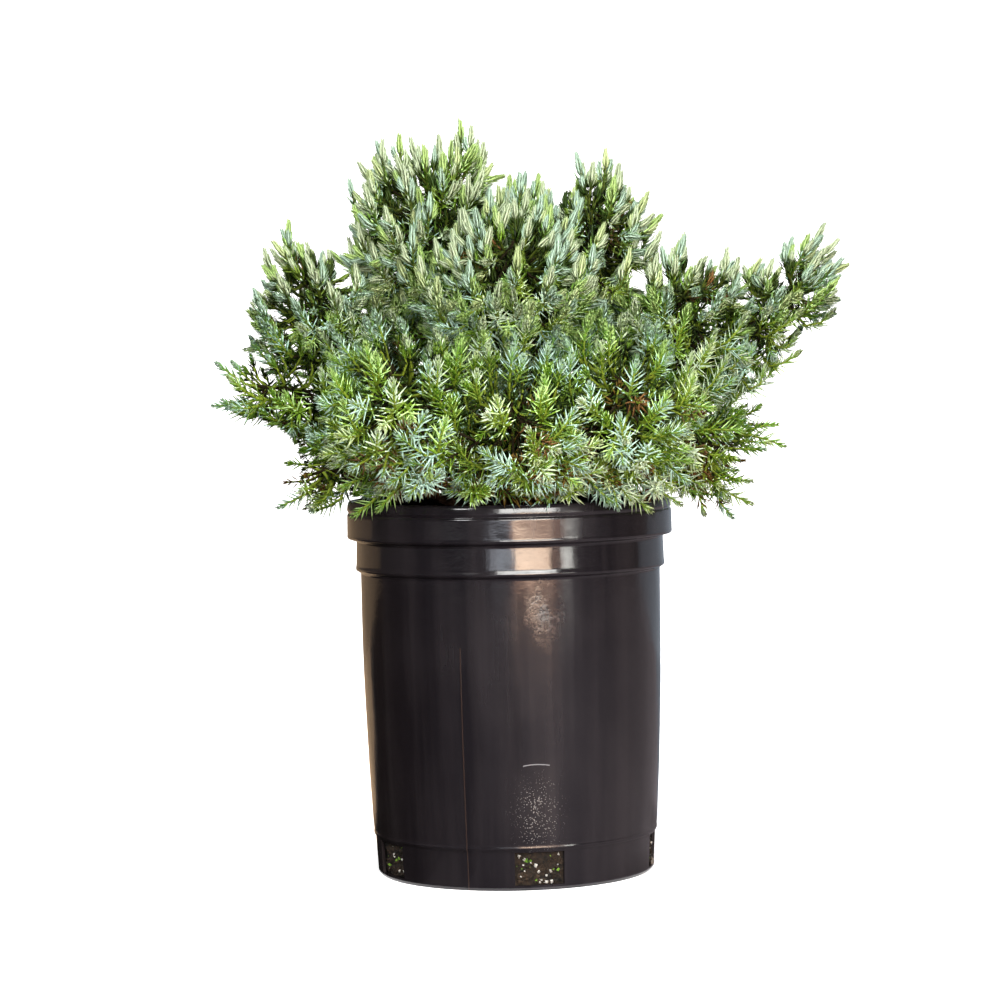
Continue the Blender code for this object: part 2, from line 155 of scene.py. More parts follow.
outline = [(SWEEP_FRONT, 0.0), (SWEEP_BACK - SWEEP_RADIUS, 0.0)]
for step in range(1, 17):
    angle = math.pi / 2 * step / 16
    outline.append(
        (
            SWEEP_BACK - SWEEP_RADIUS + SWEEP_RADIUS * math.sin(angle),
            SWEEP_RADIUS - SWEEP_RADIUS * math.cos(angle),
        )
    )
outline.append((SWEEP_BACK, SWEEP_TOP))
points = [(side * SWEEP_WIDTH / 2, depth, height) for depth, height in outline for side in (-1, 1)]
quads = [(row * 2, row * 2 + 1, row * 2 + 3, row * 2 + 2) for row in range(len(outline) - 1)]
sweep_mesh = bpy.data.meshes.new("studio_sweep")
sweep_mesh.from_pydata(points, [], quads)
sweep_mesh.shade_smooth()
studio_white = plain_material("studio_white", (0.92, 0.92, 0.92), 0.9)
set_glow(studio_white, (1.0, 1.0, 1.0), SWEEP_GLOW)
sweep = link_object("studio_sweep", sweep_mesh, studio_white)
print("sweep faces", len(sweep_mesh.polygons))


# %% Lay a black flag for the reflections
# A glossy black pot takes its tone from the floor that it mirrors, and a white floor fills the shadows
# between the shoots. The flag is a dark ring that the camera and the shadows don't see, black on the
# left and grey on the right. It keeps the pot and the crown's depths dark, while the floor stays white.
# Two brighter sectors behind the pot show at its edges.
FLAG_INSIDE = 0.0710
FLAG_OUTSIDE = 2.6
FLAG_HEIGHT = 1 * MM
FLAG_TONES = [(0.01, 0.009, 0.008), (0.048, 0.043, 0.043), (0.104, 0.092, 0.099), (0.22, 0.195, 0.21)]
FLAG_EDGES = (-0.75, -0.40, 0.05)
FLAG_BEHIND = [((90, 135), (0.42, 0.29, 0.18)), ((55, 90), (0.16, 0.18, 0.21))]
flag_points, flag_faces, flag_slots = [], [], []
for segment in range(64):
    angle = math.tau * segment / 64
    for radius in (FLAG_INSIDE, FLAG_OUTSIDE):
        flag_points.append((radius * math.cos(angle), radius * math.sin(angle), FLAG_HEIGHT))
    after = (segment + 1) % 64
    flag_faces.append((segment * 2, segment * 2 + 1, after * 2 + 1, after * 2))
    slot = int(np.searchsorted(FLAG_EDGES, math.cos(angle)))
    for number, (sector, _) in enumerate(FLAG_BEHIND):
        if sector[0] <= math.degrees(angle) < sector[1]:
            slot = len(FLAG_TONES) + number
    flag_slots.append(slot)
flag_mesh = bpy.data.meshes.new("black_flag")
flag_mesh.from_pydata(flag_points, [], flag_faces)
flag_mesh.polygons.foreach_set("material_index", flag_slots)
for number, colour in enumerate([*FLAG_TONES, *(colour for _, colour in FLAG_BEHIND)]):
    flag_mesh.materials.append(plain_material(f"flag_tone_{number}", colour, 1.0, 0.0))
flag = link_object("black_flag", flag_mesh)
hide_from(flag, "camera", "shadow", "transmission", "volume_scatter")


# %% Light it
def panel(name, place, size, power, colour=(1.0, 1.0, 1.0), target=(0.0, 0.0, 0.22)):
    """A rectangular area light that faces the target."""
    data = bpy.data.lights.new(name, "AREA")
    data.shape = "RECTANGLE"
    data.size, data.size_y = size
    data.energy = power
    data.color = colour
    lamp = bpy.data.objects.new(name, data)
    lamp.location = place
    lamp.rotation_euler = (Vector(target) - Vector(place)).to_track_quat("-Z", "Y").to_euler()
    hide_from(lamp, "camera")
    scene.collection.objects.link(lamp)
    return lamp


panel("overhead", (0.1, -0.7, 2.1), (0.38, 0.34), 55.0)
panel("front_left", (-1.3, -1.9, 1.3), (0.6, 0.8), 34.0)
panel("front_right", (0.75, -1.9, 1.0), (0.30, 1.0), 7.0, (1.0, 0.96, 0.90))
unseen = [
    panel("back_left", (-1.5, 0.9, 0.9), (0.5, 1.4), 8.0),
    panel("back_right", (1.5, 0.8, 0.9), (0.5, 1.4), 10.0),
]
for lamp in unseen:
    hide_from(lamp, "glossy")

# Cards that the pot mirrors: name, ends of the span along x, ends of that in height, power, colour
CARDS = [
    ("warm_card", (0.08, 0.58), (0.122, 0.190), 3.3, (1.0, 0.74, 0.54)),
    ("grey_card", (-0.26, 0.08), (0.136, 0.176), 0.42, (0.84, 0.90, 1.0)),
    ("lip_card", (-0.12, 0.72), (0.240, 0.500), 13.0, (1.0, 0.99, 0.96)),
    ("strip_card", (0.86, 1.18), (0.105, 0.160), 1.6, (1.0, 1.0, 0.93)),
    ("rim_card", (0.02, 0.90), (0.076, 0.114), 0.8, (1.0, 0.50, 0.32)),
    ("glint_card", (0.28, 0.42), (0.042, 0.062), 0.09, (1.0, 0.66, 0.48)),
    ("glint_card", (0.52, 0.70), (0.020, 0.050), 0.12, (1.0, 0.66, 0.48)),
]
CARD_DEPTH = -1.12
for name, (left, right_end), (low, high), power, colour in CARDS:
    middle = ((left + right_end) / 2, CARD_DEPTH, (low + high) / 2)
    panel(name, middle, (right_end - left, high - low), power, colour, (middle[0], 0.0, middle[2]))

# Curtains behind the pot, which only its edges mirror: the ends along x, those in height, and glow
CURTAINS = [
    ((-2.4, 0.0), (0.0, 0.16), (0.46, 0.32, 0.20)),
    ((-2.4, 0.0), (0.16, 3.2), (0.12, 0.09, 0.07)),
    ((0.0, 2.4), (0.0, 3.2), (0.40, 0.45, 0.52)),
]
CURTAIN_DEPTH = 0.95
for (left, right_end), (low, high), glow in CURTAINS:
    corners = [(left, low), (right_end, low), (right_end, high), (left, high)]
    curtain_mesh = bpy.data.meshes.new("curtain")
    curtain_mesh.from_pydata([(x, CURTAIN_DEPTH, z) for x, z in corners], [], [(0, 1, 2, 3)])
    curtain_dark = plain_material("curtain_dark", (0.0, 0.0, 0.0), 1.0, 0.0)
    set_glow(curtain_dark, glow, 1.0)
    curtain = link_object("curtain", curtain_mesh, curtain_dark)
    hide_from(curtain, "camera", "diffuse", "shadow", "transmission", "volume_scatter")

world = bpy.data.worlds.new("studio")
world.use_nodes = True
world.node_tree.nodes["Background"].inputs["Color"].default_value = (1.0, 1.0, 1.0, 1.0)
world.node_tree.nodes["Background"].inputs["Strength"].default_value = 0.06
scene.world = world
scene.view_settings.view_transform = "Standard"

# %% [markdown]
# ## The pot
# A one-gallon nursery pot is blow-moulded from black plastic, so its wall is thin and glossy, its
# corners are soft, and it is never quite round. A profile turned round the axis gives all of that in one
# mesh. The profile repeats the measured solid's radii, and adds the small beads on the edges of the
# bands, which are what catches the light.

# %% The pot's profile
POT_HEIGHT = 190 * MM
RIM_RADIUS = 82.5 * MM
POT_WALL = 1.6 * MM
POT_FLOOR = 2.2 * MM
FOOT_RADIUS = 70.5 * MM
FOOT_BAND = 19.5 * MM
BODY_TOP = 153.5 * MM
BODY_BOW = 1.1 * MM
BODY_FOOT = FOOT_RADIUS + 1.5 * MM
BODY_HEAD = RIM_RADIUS - 6.6 * MM
BAND_RADIUS = RIM_RADIUS - 4.4 * MM
DRAIN_HOLES = 5
DRAIN_HALF_ANGLE = 10
DRAIN_BOTTOM = 2.6 * MM
DRAIN_TOP = 19.0 * MM
FIRST_DRAIN = -80.8
POT_SEGMENTS = 360


def body_row(share):
    bow = BODY_BOW * math.sin(math.pi * share)
    return BODY_FOOT + share * (BODY_HEAD - BODY_FOOT) + bow, FOOT_BAND + share * (BODY_TOP - FOOT_BAND)


def rounded(points, radius, steps=3):
    """A profile with rounded corners, and a row beside each that keeps the long faces flat."""
    soft = [points[0]]
    for before, corner, after in zip(points, points[1:], points[2:]):
        corner = Vector(corner)
        back = Vector(before) - corner
        onward = Vector(after) - corner
        reach = min(radius, back.length * 0.45, onward.length * 0.45)
        start = corner + back.normalized() * reach
        end = corner + onward.normalized() * reach
        if back.length > 6 * radius:
            soft.append(tuple(corner + back.normalized() * 2 * reach))
        for step in range(steps + 1):
            share = step / steps
            place = start.lerp(corner, share).lerp(corner.lerp(end, share), share)
            soft.append((place.x, place.y))
        if onward.length > 6 * radius:
            soft.append(tuple(corner + onward.normalized() * 2 * reach))
    soft.append(points[-1])
    return soft


foot_rows = [
    (FOOT_RADIUS - 1.2 * MM, 0.0),
    (FOOT_RADIUS, 1.4 * MM),
    (FOOT_RADIUS + 0.05 * MM, DRAIN_BOTTOM),
    (FOOT_RADIUS + 0.85 * MM, DRAIN_TOP),
    (FOOT_RADIUS + 0.9 * MM, FOOT_BAND),
]
upper_rows = [
    (FOOT_RADIUS + 0.9 * MM, FOOT_BAND),
    (BODY_FOOT, FOOT_BAND + 0.7 * MM),
    (BODY_FOOT + 0.25 * MM, FOOT_BAND + 1.5 * MM),
    (BODY_FOOT + 0.05 * MM, FOOT_BAND + 2.9 * MM),
    *(body_row(share) for share in np.linspace(0.05, 0.95, 9)),
    (BODY_HEAD, BODY_TOP - 0.6 * MM),
    (BODY_HEAD + 0.2 * MM, BODY_TOP),
    (BAND_RADIUS + 0.15 * MM, BODY_TOP + 1.3 * MM),
    (BAND_RADIUS + 0.3 * MM, BODY_TOP + 2.3 * MM),
    (BAND_RADIUS, BODY_TOP + 3.8 * MM),
    (BAND_RADIUS - 0.34 * MM, POT_HEIGHT - 20.2 * MM),
    (RIM_RADIUS - 0.5 * MM, POT_HEIGHT - 19.2 * MM),
    (RIM_RADIUS, POT_HEIGHT - 18.2 * MM),
    (RIM_RADIUS - 0.10 * MM, POT_HEIGHT - 17.2 * MM),
    (RIM_RADIUS - 0.12 * MM, POT_HEIGHT - 7.0 * MM),
    (RIM_RADIUS - 0.9 * MM, POT_HEIGHT - 6.2 * MM),
    (RIM_RADIUS, POT_HEIGHT - 5.0 * MM),
    (RIM_RADIUS - 0.4 * MM, POT_HEIGHT - 1.4 * MM),
    (RIM_RADIUS - 1.3 * MM, POT_HEIGHT),
    (RIM_RADIUS - 2.6 * MM, POT_HEIGHT - 0.8 * MM),
    (RIM_RADIUS - 2.6 * MM, POT_HEIGHT - 17.6 * MM),
    (BAND_RADIUS - 1.5 * MM, POT_HEIGHT - 21.6 * MM),
    (BAND_RADIUS - 1.7 * MM, BODY_TOP + 2.0 * MM),
    (BODY_HEAD - POT_WALL, BODY_TOP),
    (body_row(0.6)[0] - POT_WALL, body_row(0.6)[1]),
    (BODY_FOOT - POT_WALL, FOOT_BAND + 1.0 * MM),
]
inner_rows = [
    (BODY_FOOT - POT_WALL, FOOT_BAND + 1.0 * MM),
    (FOOT_RADIUS + 0.85 * MM - POT_WALL, DRAIN_TOP),
    (FOOT_RADIUS + 0.05 * MM - POT_WALL, DRAIN_BOTTOM),
    (FOOT_RADIUS - POT_WALL - 0.1 * MM, POT_FLOOR),
    (0.0, POT_FLOOR),
]
POT_PROFILE = [(0.0, 0.0), *foot_rows, *rounded(upper_rows, 0.8 * MM)[1:], *inner_rows[1:]]
print("pot rows", len(POT_PROFILE))


# %% Turn it, out of round and with its drain holes open
def out_of_round(angle, height):
    """How far the wall leans out of a true circle, with soft dents that bend the reflections."""
    lift = min(1.0, height / (60 * MM)) * min(1.0, (POT_HEIGHT - height) / (20 * MM) + 0.25)
    oval = 0.30 * MM * math.sin(2 * angle + 0.7)
    dents = 0.16 * MM * math.sin(5 * angle + 1.3 + height * 21) * math.sin(3 * angle + height * 37)
    ripples = 0.05 * MM * math.sin(17 * angle + height * 90 + 2.1 * math.sin(4 * angle))
    return lift * (oval + dents + ripples)


def in_drain(segment):
    place = (segment + 0.5) % (POT_SEGMENTS / DRAIN_HOLES)
    return min(place, POT_SEGMENTS / DRAIN_HOLES - place) < DRAIN_HALF_ANGLE


hole_low = [row for row, (_, height) in enumerate(POT_PROFILE) if abs(height - DRAIN_BOTTOM) < 1e-9]
hole_high = [row for row, (_, height) in enumerate(POT_PROFILE) if abs(height - DRAIN_TOP) < 1e-9]
outer_low, inner_low = hole_low
outer_high, inner_high = hole_high
pot_points = []


def is_wall(row, segment):
    """False where a drain hole leaves a quad out of the wall's outer or inner face."""
    in_rows = outer_low <= row < outer_high or inner_high <= row < inner_low
    return not (in_rows and in_drain(segment))


for row, (radius, height) in enumerate(POT_PROFILE):
    for segment in range(POT_SEGMENTS):
        angle = math.radians(FIRST_DRAIN) + math.tau * segment / POT_SEGMENTS
        around = radius + (out_of_round(angle, height) if radius > 0.01 else 0.0)
        pot_points.append((around * math.cos(angle), around * math.sin(angle), height))
pot_faces = ring_quads(len(POT_PROFILE), POT_SEGMENTS, is_wall)
for segment in range(POT_SEGMENTS):
    after = (segment + 1) % POT_SEGMENTS
    if in_drain(segment):
        for outer, inner in ((outer_low, inner_low), (inner_high, outer_high)):
            low, high = outer * POT_SEGMENTS, inner * POT_SEGMENTS
            pot_faces.append((low + segment, low + after, high + after, high + segment))
        for edge, neighbour in ((segment, segment - 1), (after, after)):
            if not in_drain(neighbour % POT_SEGMENTS):
                corners = [outer_low, outer_high, inner_high, inner_low]
                corners = corners if neighbour == after else corners[::-1]
                pot_faces.append(tuple(corner * POT_SEGMENTS + edge for corner in corners))
pot_mesh = bpy.data.meshes.new("nursery_pot")
pot_mesh.from_pydata(pot_points, [], pot_faces)
weld(pot_mesh)
pot_mesh.shade_smooth()
pot_mesh.set_sharp_from_angle(angle=math.radians(48))
print("pot faces", len(pot_mesh.polygons))


# %% Glossy black plastic
def add_node(tree, kind, **values):
    """A node with its named properties or inputs set."""
    node = tree.nodes.new(kind)
    for name, value in values.items():
        if hasattr(node, name):
            setattr(node, name, value)
        else:
            node.inputs[name].default_value = value
    return node


def noise_on(tree, source, scale, stretch=(1.0, 1.0, 1.0), detail=3.0, roughness=0.5):
    """Noise over a coordinate, stretched where one of its scales is small."""
    mapping = add_node(tree, "ShaderNodeMapping", Scale=stretch)
    texture = add_node(tree, "ShaderNodeTexNoise", Scale=scale, Detail=detail, Roughness=roughness)
    tree.links.new(source, mapping.inputs["Vector"])
    tree.links.new(mapping.outputs["Vector"], texture.inputs["Vector"])
    return texture.outputs["Fac"]


def ramp(tree, factor, stops):
    """A colour ramp over (position, colour) stops."""
    node = tree.nodes.new("ShaderNodeValToRGB")
    elements = node.color_ramp.elements
    while len(elements) < len(stops):
        elements.new(0.5)
    for element, (place, colour) in zip(elements, stops):
        element.position = place
        element.color = (*colour, 1.0)
    tree.links.new(factor, node.inputs["Fac"])
    return node.outputs["Color"]


def add_bump(tree, shader, height, strength, distance):
    bump = add_node(tree, "ShaderNodeBump", Strength=strength, Distance=distance)
    tree.links.new(height, bump.inputs["Height"])
    tree.links.new(bump.outputs["Normal"], shader.inputs["Normal"])


def maths(tree, operation, *values):
    node = tree.nodes.new("ShaderNodeMath")
    node.operation = operation
    for socket, value in zip(node.inputs, values):
        if isinstance(value, (int, float)):
            socket.default_value = value
        else:
            tree.links.new(value, socket)
    return node.outputs["Value"]


def patch(tree, place, centre, reach):
    """A soft spot on the pot: 1 at its centre, 0 from its reach outwards, flattened along z."""
    offset = add_node(tree, "ShaderNodeVectorMath", operation="SUBTRACT")
    tree.links.new(place, offset.inputs[0])
    offset.inputs[1].default_value = centre
    scaled = add_node(tree, "ShaderNodeVectorMath", operation="DIVIDE")
    tree.links.new(offset.outputs["Vector"], scaled.inputs[0])
    scaled.inputs[1].default_value = reach
    length = add_node(tree, "ShaderNodeVectorMath", operation="LENGTH")
    tree.links.new(scaled.outputs["Vector"], length.inputs[0])
    return maths(tree, "MAXIMUM", maths(tree, "SUBTRACT", 1.0, length.outputs["Value"]), 0.0)


def tint(tree, factor, colour, under):
    """Lays a colour over another by a factor."""
    mix = add_node(tree, "ShaderNodeMix", data_type="RGBA")
    tree.links.new(factor, mix.inputs["Factor"])
    tree.links.new(under, mix.inputs["A"])
    mix.inputs["B"].default_value = (*colour, 1.0)
    return mix.outputs["Result"]


def clamped(tree, value, high):
    return maths(tree, "MINIMUM", maths(tree, "MAXIMUM", value, 0.0), high)


SEAM_ANGLE = -109.7
SEAM_HALF = 0.28 * MM
SEAM_TOP = 120 * MM
DUST_CENTRE = (11 * MM, -72 * MM, 38 * MM)
DUST_REACH = (19 * MM, 30 * MM, 32 * MM)
SCRATCH_CENTRE = (10.5 * MM, 62.5 * MM)
SCRATCH_HALF = 6.5 * MM
SCRATCH_BOW = 16.0
SCRATCH_HALF_WIDTH = 0.26 * MM
# The scuffed patch under the band has real relief, with painted warm glints in its colour.
SCUFF_GLINT_CENTRE = (15.5 * MM, -74 * MM, 137 * MM)
SCUFF_GLINT_REACH = (11 * MM, 30 * MM, 18 * MM)

black_plastic, tree, shader = new_material("black_plastic")
place = tree.nodes.new("ShaderNodeTexCoord").outputs["Object"]
streaks = noise_on(tree, place, 70.0, (1.0, 1.0, 0.03), 4.0, 0.6)
clouds = noise_on(tree, place, 16.0)
grain = noise_on(tree, place, 900.0, detail=2.0)
times, plus, minus, below = (
    partial(maths, tree, operation) for operation in ("MULTIPLY", "ADD", "SUBTRACT", "LESS_THAN")
)
size_of = partial(maths, tree, "ABSOLUTE")
tone = plus(times(streaks, 0.6), times(clouds, 0.4))
base = ramp(tree, tone, [(0.42, (0.007, 0.006, 0.008)), (0.62, (0.018, 0.0155, 0.018))])
axes = tree.nodes.new("ShaderNodeSeparateXYZ")
tree.links.new(place, axes.inputs["Vector"])
across_pot, depth, height = (axes.outputs[axis] for axis in "XYZ")
seam_x, seam_y = math.cos(math.radians(SEAM_ANGLE)), math.sin(math.radians(SEAM_ANGLE))
aside = size_of(minus(times(across_pot, seam_y), times(depth, seam_x)))
facing = below(depth, 0.0)
seam = times(times(below(aside, SEAM_HALF), facing), below(height, SEAM_TOP))
base = tint(tree, times(seam, 0.4), (0.06, 0.035, 0.025), base)
# Painted sheen: the pot's left and right sides, as seen from the front, take a brown sheen in the base
# colour.
sideways = times(size_of(across_pot), 1 / RIM_RADIUS)
painted_side_sheen = times(maths(tree, "POWER", sideways, 4.0), 0.25)
base = tint(tree, painted_side_sheen, (0.040, 0.024, 0.015), base)
dots = add_node(tree, "ShaderNodeTexVoronoi", Scale=1050.0)
tree.links.new(place, dots.inputs["Vector"])
dust_area = plus(patch(tree, place, DUST_CENTRE, DUST_REACH), 0.03)
dust_size = times(dust_area, noise_on(tree, place, 130.0, detail=3.0))
speck = below(dots.outputs["Distance"], times(dust_size, 0.56))
base = tint(tree, times(speck, 0.45), (0.45, 0.42, 0.40), base)
along = minus(across_pot, SCRATCH_CENTRE[0])
bowed = times(times(along, along), SCRATCH_BOW)
rise = minus(height, SCRATCH_CENTRE[1])
scratch = times(below(size_of(plus(rise, bowed)), SCRATCH_HALF_WIDTH), facing)
scratch = times(scratch, below(size_of(along), SCRATCH_HALF))
base = tint(tree, times(scratch, 0.5), (0.4, 0.4, 0.42), base)
# A scuffed patch of flakes. Their relief is real, and their warm tint in the base colour is a painted glint.
blotches = minus(noise_on(tree, place, 130.0, detail=2.0), 0.40)
blotches = clamped(tree, times(blotches, 6.0), 1.0)
scuff_and_glint_patch = times(patch(tree, place, SCUFF_GLINT_CENTRE, SCUFF_GLINT_REACH), blotches)
rough_spots = minus(noise_on(tree, place, 520.0, detail=3.0, roughness=0.75), 0.5)
flakes_and_glints = times(scuff_and_glint_patch, rough_spots)
base = tint(tree, clamped(tree, times(flakes_and_glints, 6.0), 0.11), (0.26, 0.175, 0.14), base)
tree.links.new(base, shader.inputs["Base Color"])
shine = plus(times(tone, 0.28), times(dust_area, 0.12))
tree.links.new(shine, shader.inputs["Roughness"])
relief = plus(times(streaks, 0.4), times(grain, 0.06))
relief = plus(relief, times(noise_on(tree, place, 110.0, detail=2.0), 0.22))
relief = plus(relief, times(seam, 0.25))
relief = plus(relief, times(flakes_and_glints, 1.4))
add_bump(tree, shader, relief, 0.5, 0.0006)

pot = link_object("nursery_pot", pot_mesh, black_plastic)
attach(pot, "root")
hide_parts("pot")

# %% [markdown]
# ## The potting mix
# Nursery mix is composted bark with white perlite. It shows at the drain holes and, from above, round
# the trunk. A lumpy core fills the pot, and chips and grains are set over it wherever it shows.

# %% Core of the mix
MIX_EDGE = 166 * MM
MIX_MOUND = 2 * MM
MIX_CLEARANCE = 0.5 * MM
MIX_SEGMENTS = 180
MIX_ROWS = 36


def inside_radius(height):
    """The pot's inner radius at a height, from the profile's rows after the top of the rim."""
    heights = [point[1] for point in POT_PROFILE]
    upwards = POT_PROFILE[heights.index(max(heights)) + 1 : -1][::-1]
    return float(np.interp(height, [point[1] for point in upwards], [point[0] for point in upwards]))


def lumps(place, scale):
    return noise.noise(Vector(place) * scale) * 0.6 + noise.noise(Vector(place) * scale * 2.3) * 0.4


mix_points = []
mix_profile = [(0.0, POT_FLOOR + 0.3 * MM)]
for step in range(MIX_ROWS):
    height = POT_FLOOR + 0.3 * MM + (MIX_EDGE - POT_FLOOR - 0.3 * MM) * step / (MIX_ROWS - 1)
    mix_profile.append((inside_radius(height) - MIX_CLEARANCE, height))
for step in range(1, 19):
    share = 1 - step / 19
    edge = inside_radius(MIX_EDGE) - MIX_CLEARANCE
    mix_profile.append((edge * share, MIX_EDGE + MIX_MOUND * (1 - share**2)))
for radius, height in mix_profile:
    for segment in range(MIX_SEGMENTS):
        angle = math.tau * segment / MIX_SEGMENTS
        around = Vector((radius * math.cos(angle), radius * math.sin(angle), height))
        lump = lumps(around, 190)
        if height > MIX_EDGE:
            around.z += (lump - 0.5) * 1.2 * MM
        elif radius > 0.01:
            around *= 1 - (0.5 + lump) * 1.2 * MM / max(radius, 0.01)
            around.z = height
        mix_points.append(around)
mix_faces = ring_quads(len(mix_profile), MIX_SEGMENTS)
mix_faces.append(tuple(range(len(mix_points) - MIX_SEGMENTS, len(mix_points))))
mix_mesh = bpy.data.meshes.new("mix_core")
mix_mesh.from_pydata(mix_points, [], mix_faces)
weld(mix_mesh)


def earthy(name, dark, light, scale, roughness=0.95):
    made, tree, shader = new_material(name)
    place = tree.nodes.new("ShaderNodeTexCoord").outputs["Object"]
    fleck = noise_on(tree, place, scale, detail=5.0, roughness=0.7)
    tree.links.new(ramp(tree, fleck, [(0.38, dark), (0.66, light)]), shader.inputs["Base Color"])
    shader.inputs["Roughness"].default_value = roughness
    add_bump(tree, shader, fleck, 0.6, 0.001)
    return made


mix_earth = earthy("mix_earth", (0.004, 0.003, 0.002), (0.030, 0.018, 0.010), 420.0)
mix_core = link_object("mix_core", mix_mesh, mix_earth)
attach(mix_core, "root")
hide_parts("potting_mix")
print("mix faces", len(mix_mesh.polygons))

# %% Bark chips, perlite and moss
CHIP_COUNT = 2600
DRAIN_CHIPS = 150
CHIP_INSET = 4.5 * MM
chip_foot = [(-1, -1, -1), (1, -1, -1), (1, 1, -1), (-1, 1, -1)]
chip_shape = np.array([*chip_foot, (0, -0.8, 1), (0.7, 0.6, 1), (-0.8, 0.5, 1)])
chip_sides = [(0, 1, 4), (1, 5, 4), (1, 2, 5), (2, 6, 5), (2, 3, 6), (3, 4, 6), (3, 0, 4)]
chip_faces = np.array([(0, 3, 2), (0, 2, 1), *chip_sides, (4, 5, 6)])


def fast_mesh(name, vertices, triangles, slots):
    """A mesh of triangles straight from arrays."""
    mesh = bpy.data.meshes.new(name)
    mesh.vertices.add(len(vertices))
    mesh.vertices.foreach_set("co", vertices.astype(np.float32).ravel())
    mesh.loops.add(triangles.size)
    mesh.loops.foreach_set("vertex_index", triangles.astype(np.int32).ravel())
    mesh.polygons.add(len(triangles))
    mesh.polygons.foreach_set("loop_start", np.arange(0, triangles.size, 3, dtype=np.int32))
    mesh.polygons.foreach_set("material_index", slots.astype(np.int32))
    mesh.update(calc_edges=True)
    return mesh


def scatter(name, places, sizes, material, draw):
    """Copies of the chip at the given places, each turned and stretched its own way."""
    turns = np.linalg.qr(draw.normal(size=(len(places), 3, 3)))[0]
    shapes = chip_shape[None] * sizes[:, None, :] * draw.uniform(0.75, 1.25, (len(places), 7, 3))
    vertices = np.einsum("nij,nkj->nki", turns, shapes) + places[:, None]
    starts = np.arange(len(places)) * len(chip_shape)
    triangles = (starts[:, None, None] + chip_faces).reshape(-1, 3)
    mesh = fast_mesh(name, vertices.reshape(-1, 3), triangles, np.zeros(len(triangles)))
    piece = link_object(name, mesh, material)
    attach(piece, "root")
    print(name, len(triangles))


def on_top(count, draw, height):
    radius = (inside_radius(MIX_EDGE) - CHIP_INSET) * np.sqrt(draw.uniform(0.01, 1, count))
    angle = draw.uniform(0, math.tau, count)
    rise = MIX_EDGE + MIX_MOUND * (1 - (radius / (inside_radius(MIX_EDGE))) ** 2) + height
    return np.stack([radius * np.cos(angle), radius * np.sin(angle), rise], axis=1)


def in_drains(count, draw, depth):
    """Places in the drain holes, just behind the inner face of the wall."""
    hole = draw.integers(0, DRAIN_HOLES, count)
    swing = np.radians(FIRST_DRAIN + hole * 360 / DRAIN_HOLES + draw.uniform(-9.2, 9.2, count))
    height = draw.uniform(DRAIN_BOTTOM + 1.2 * MM, DRAIN_TOP - 1.2 * MM, count)
    radius = FOOT_RADIUS - POT_WALL - depth - draw.uniform(0, 1.0, count) * MM
    return np.stack([radius * np.cos(swing), radius * np.sin(swing), height], axis=1)


draw = np.random.default_rng(31)
chip_brown = earthy("chip_brown", (0.003, 0.002, 0.001), (0.050, 0.030, 0.016), 160.0)
perlite = earthy("perlite", (0.42, 0.40, 0.36), (0.80, 0.79, 0.75), 300.0)
moss_green = earthy("moss_green", (0.05, 0.14, 0.01), (0.22, 0.42, 0.04), 260.0)
drain_chips = DRAIN_CHIPS * DRAIN_HOLES
chips = np.concatenate([on_top(CHIP_COUNT, draw, -0.2 * MM), in_drains(drain_chips, draw, 0.6 * MM)])
chip_sizes = draw.uniform(0.5, 1.5, (len(chips), 3)) * (1.3, 0.8, 0.5) * MM
scatter("bark_chips", chips, chip_sizes, chip_brown, draw)
grains = np.concatenate([on_top(260, draw, 0.2 * MM), in_drains(50, draw, 0.3 * MM)])
scatter("perlite_grains", grains, draw.uniform(0.35, 0.9, (len(grains), 3)) * MM, perlite, draw)
moss = np.concatenate([on_top(40, draw, 0.2 * MM), in_drains(40, draw, 0.3 * MM)])
scatter("moss_specks", moss, draw.uniform(0.4, 0.9, (len(moss), 3)) * MM, moss_green, draw)

# %% [markdown]
# ## The plant's plan
# A juniper is a tree of limbs: trunk, boughs, twigs, shoots and needles, each grown from the one before.
# The measured solids were grown by a small rule, from a table of spheroids that the masses of foliage
# fill. A rule of the same kind is written here over the same table, with closer spacing, and carried on
# to every shoot and needle, so the fine foliage stays where the solids are.

# %% The table of masses
SEED = 7
GAP = 0.3 * MM
TRUNK_FOOT = 168.3 * MM
TRUNK_TOP = 262 * MM
TRUNK_RADIUS = 6.6 * MM
TRUNK_TIP_RADIUS = 3.0 * MM
ROOT_FLARE = 5.5 * MM
FLARE_HEIGHT = 12 * MM
TRUNK_LEAN = np.array((-4.0, 5.0, 0.0)) * MM

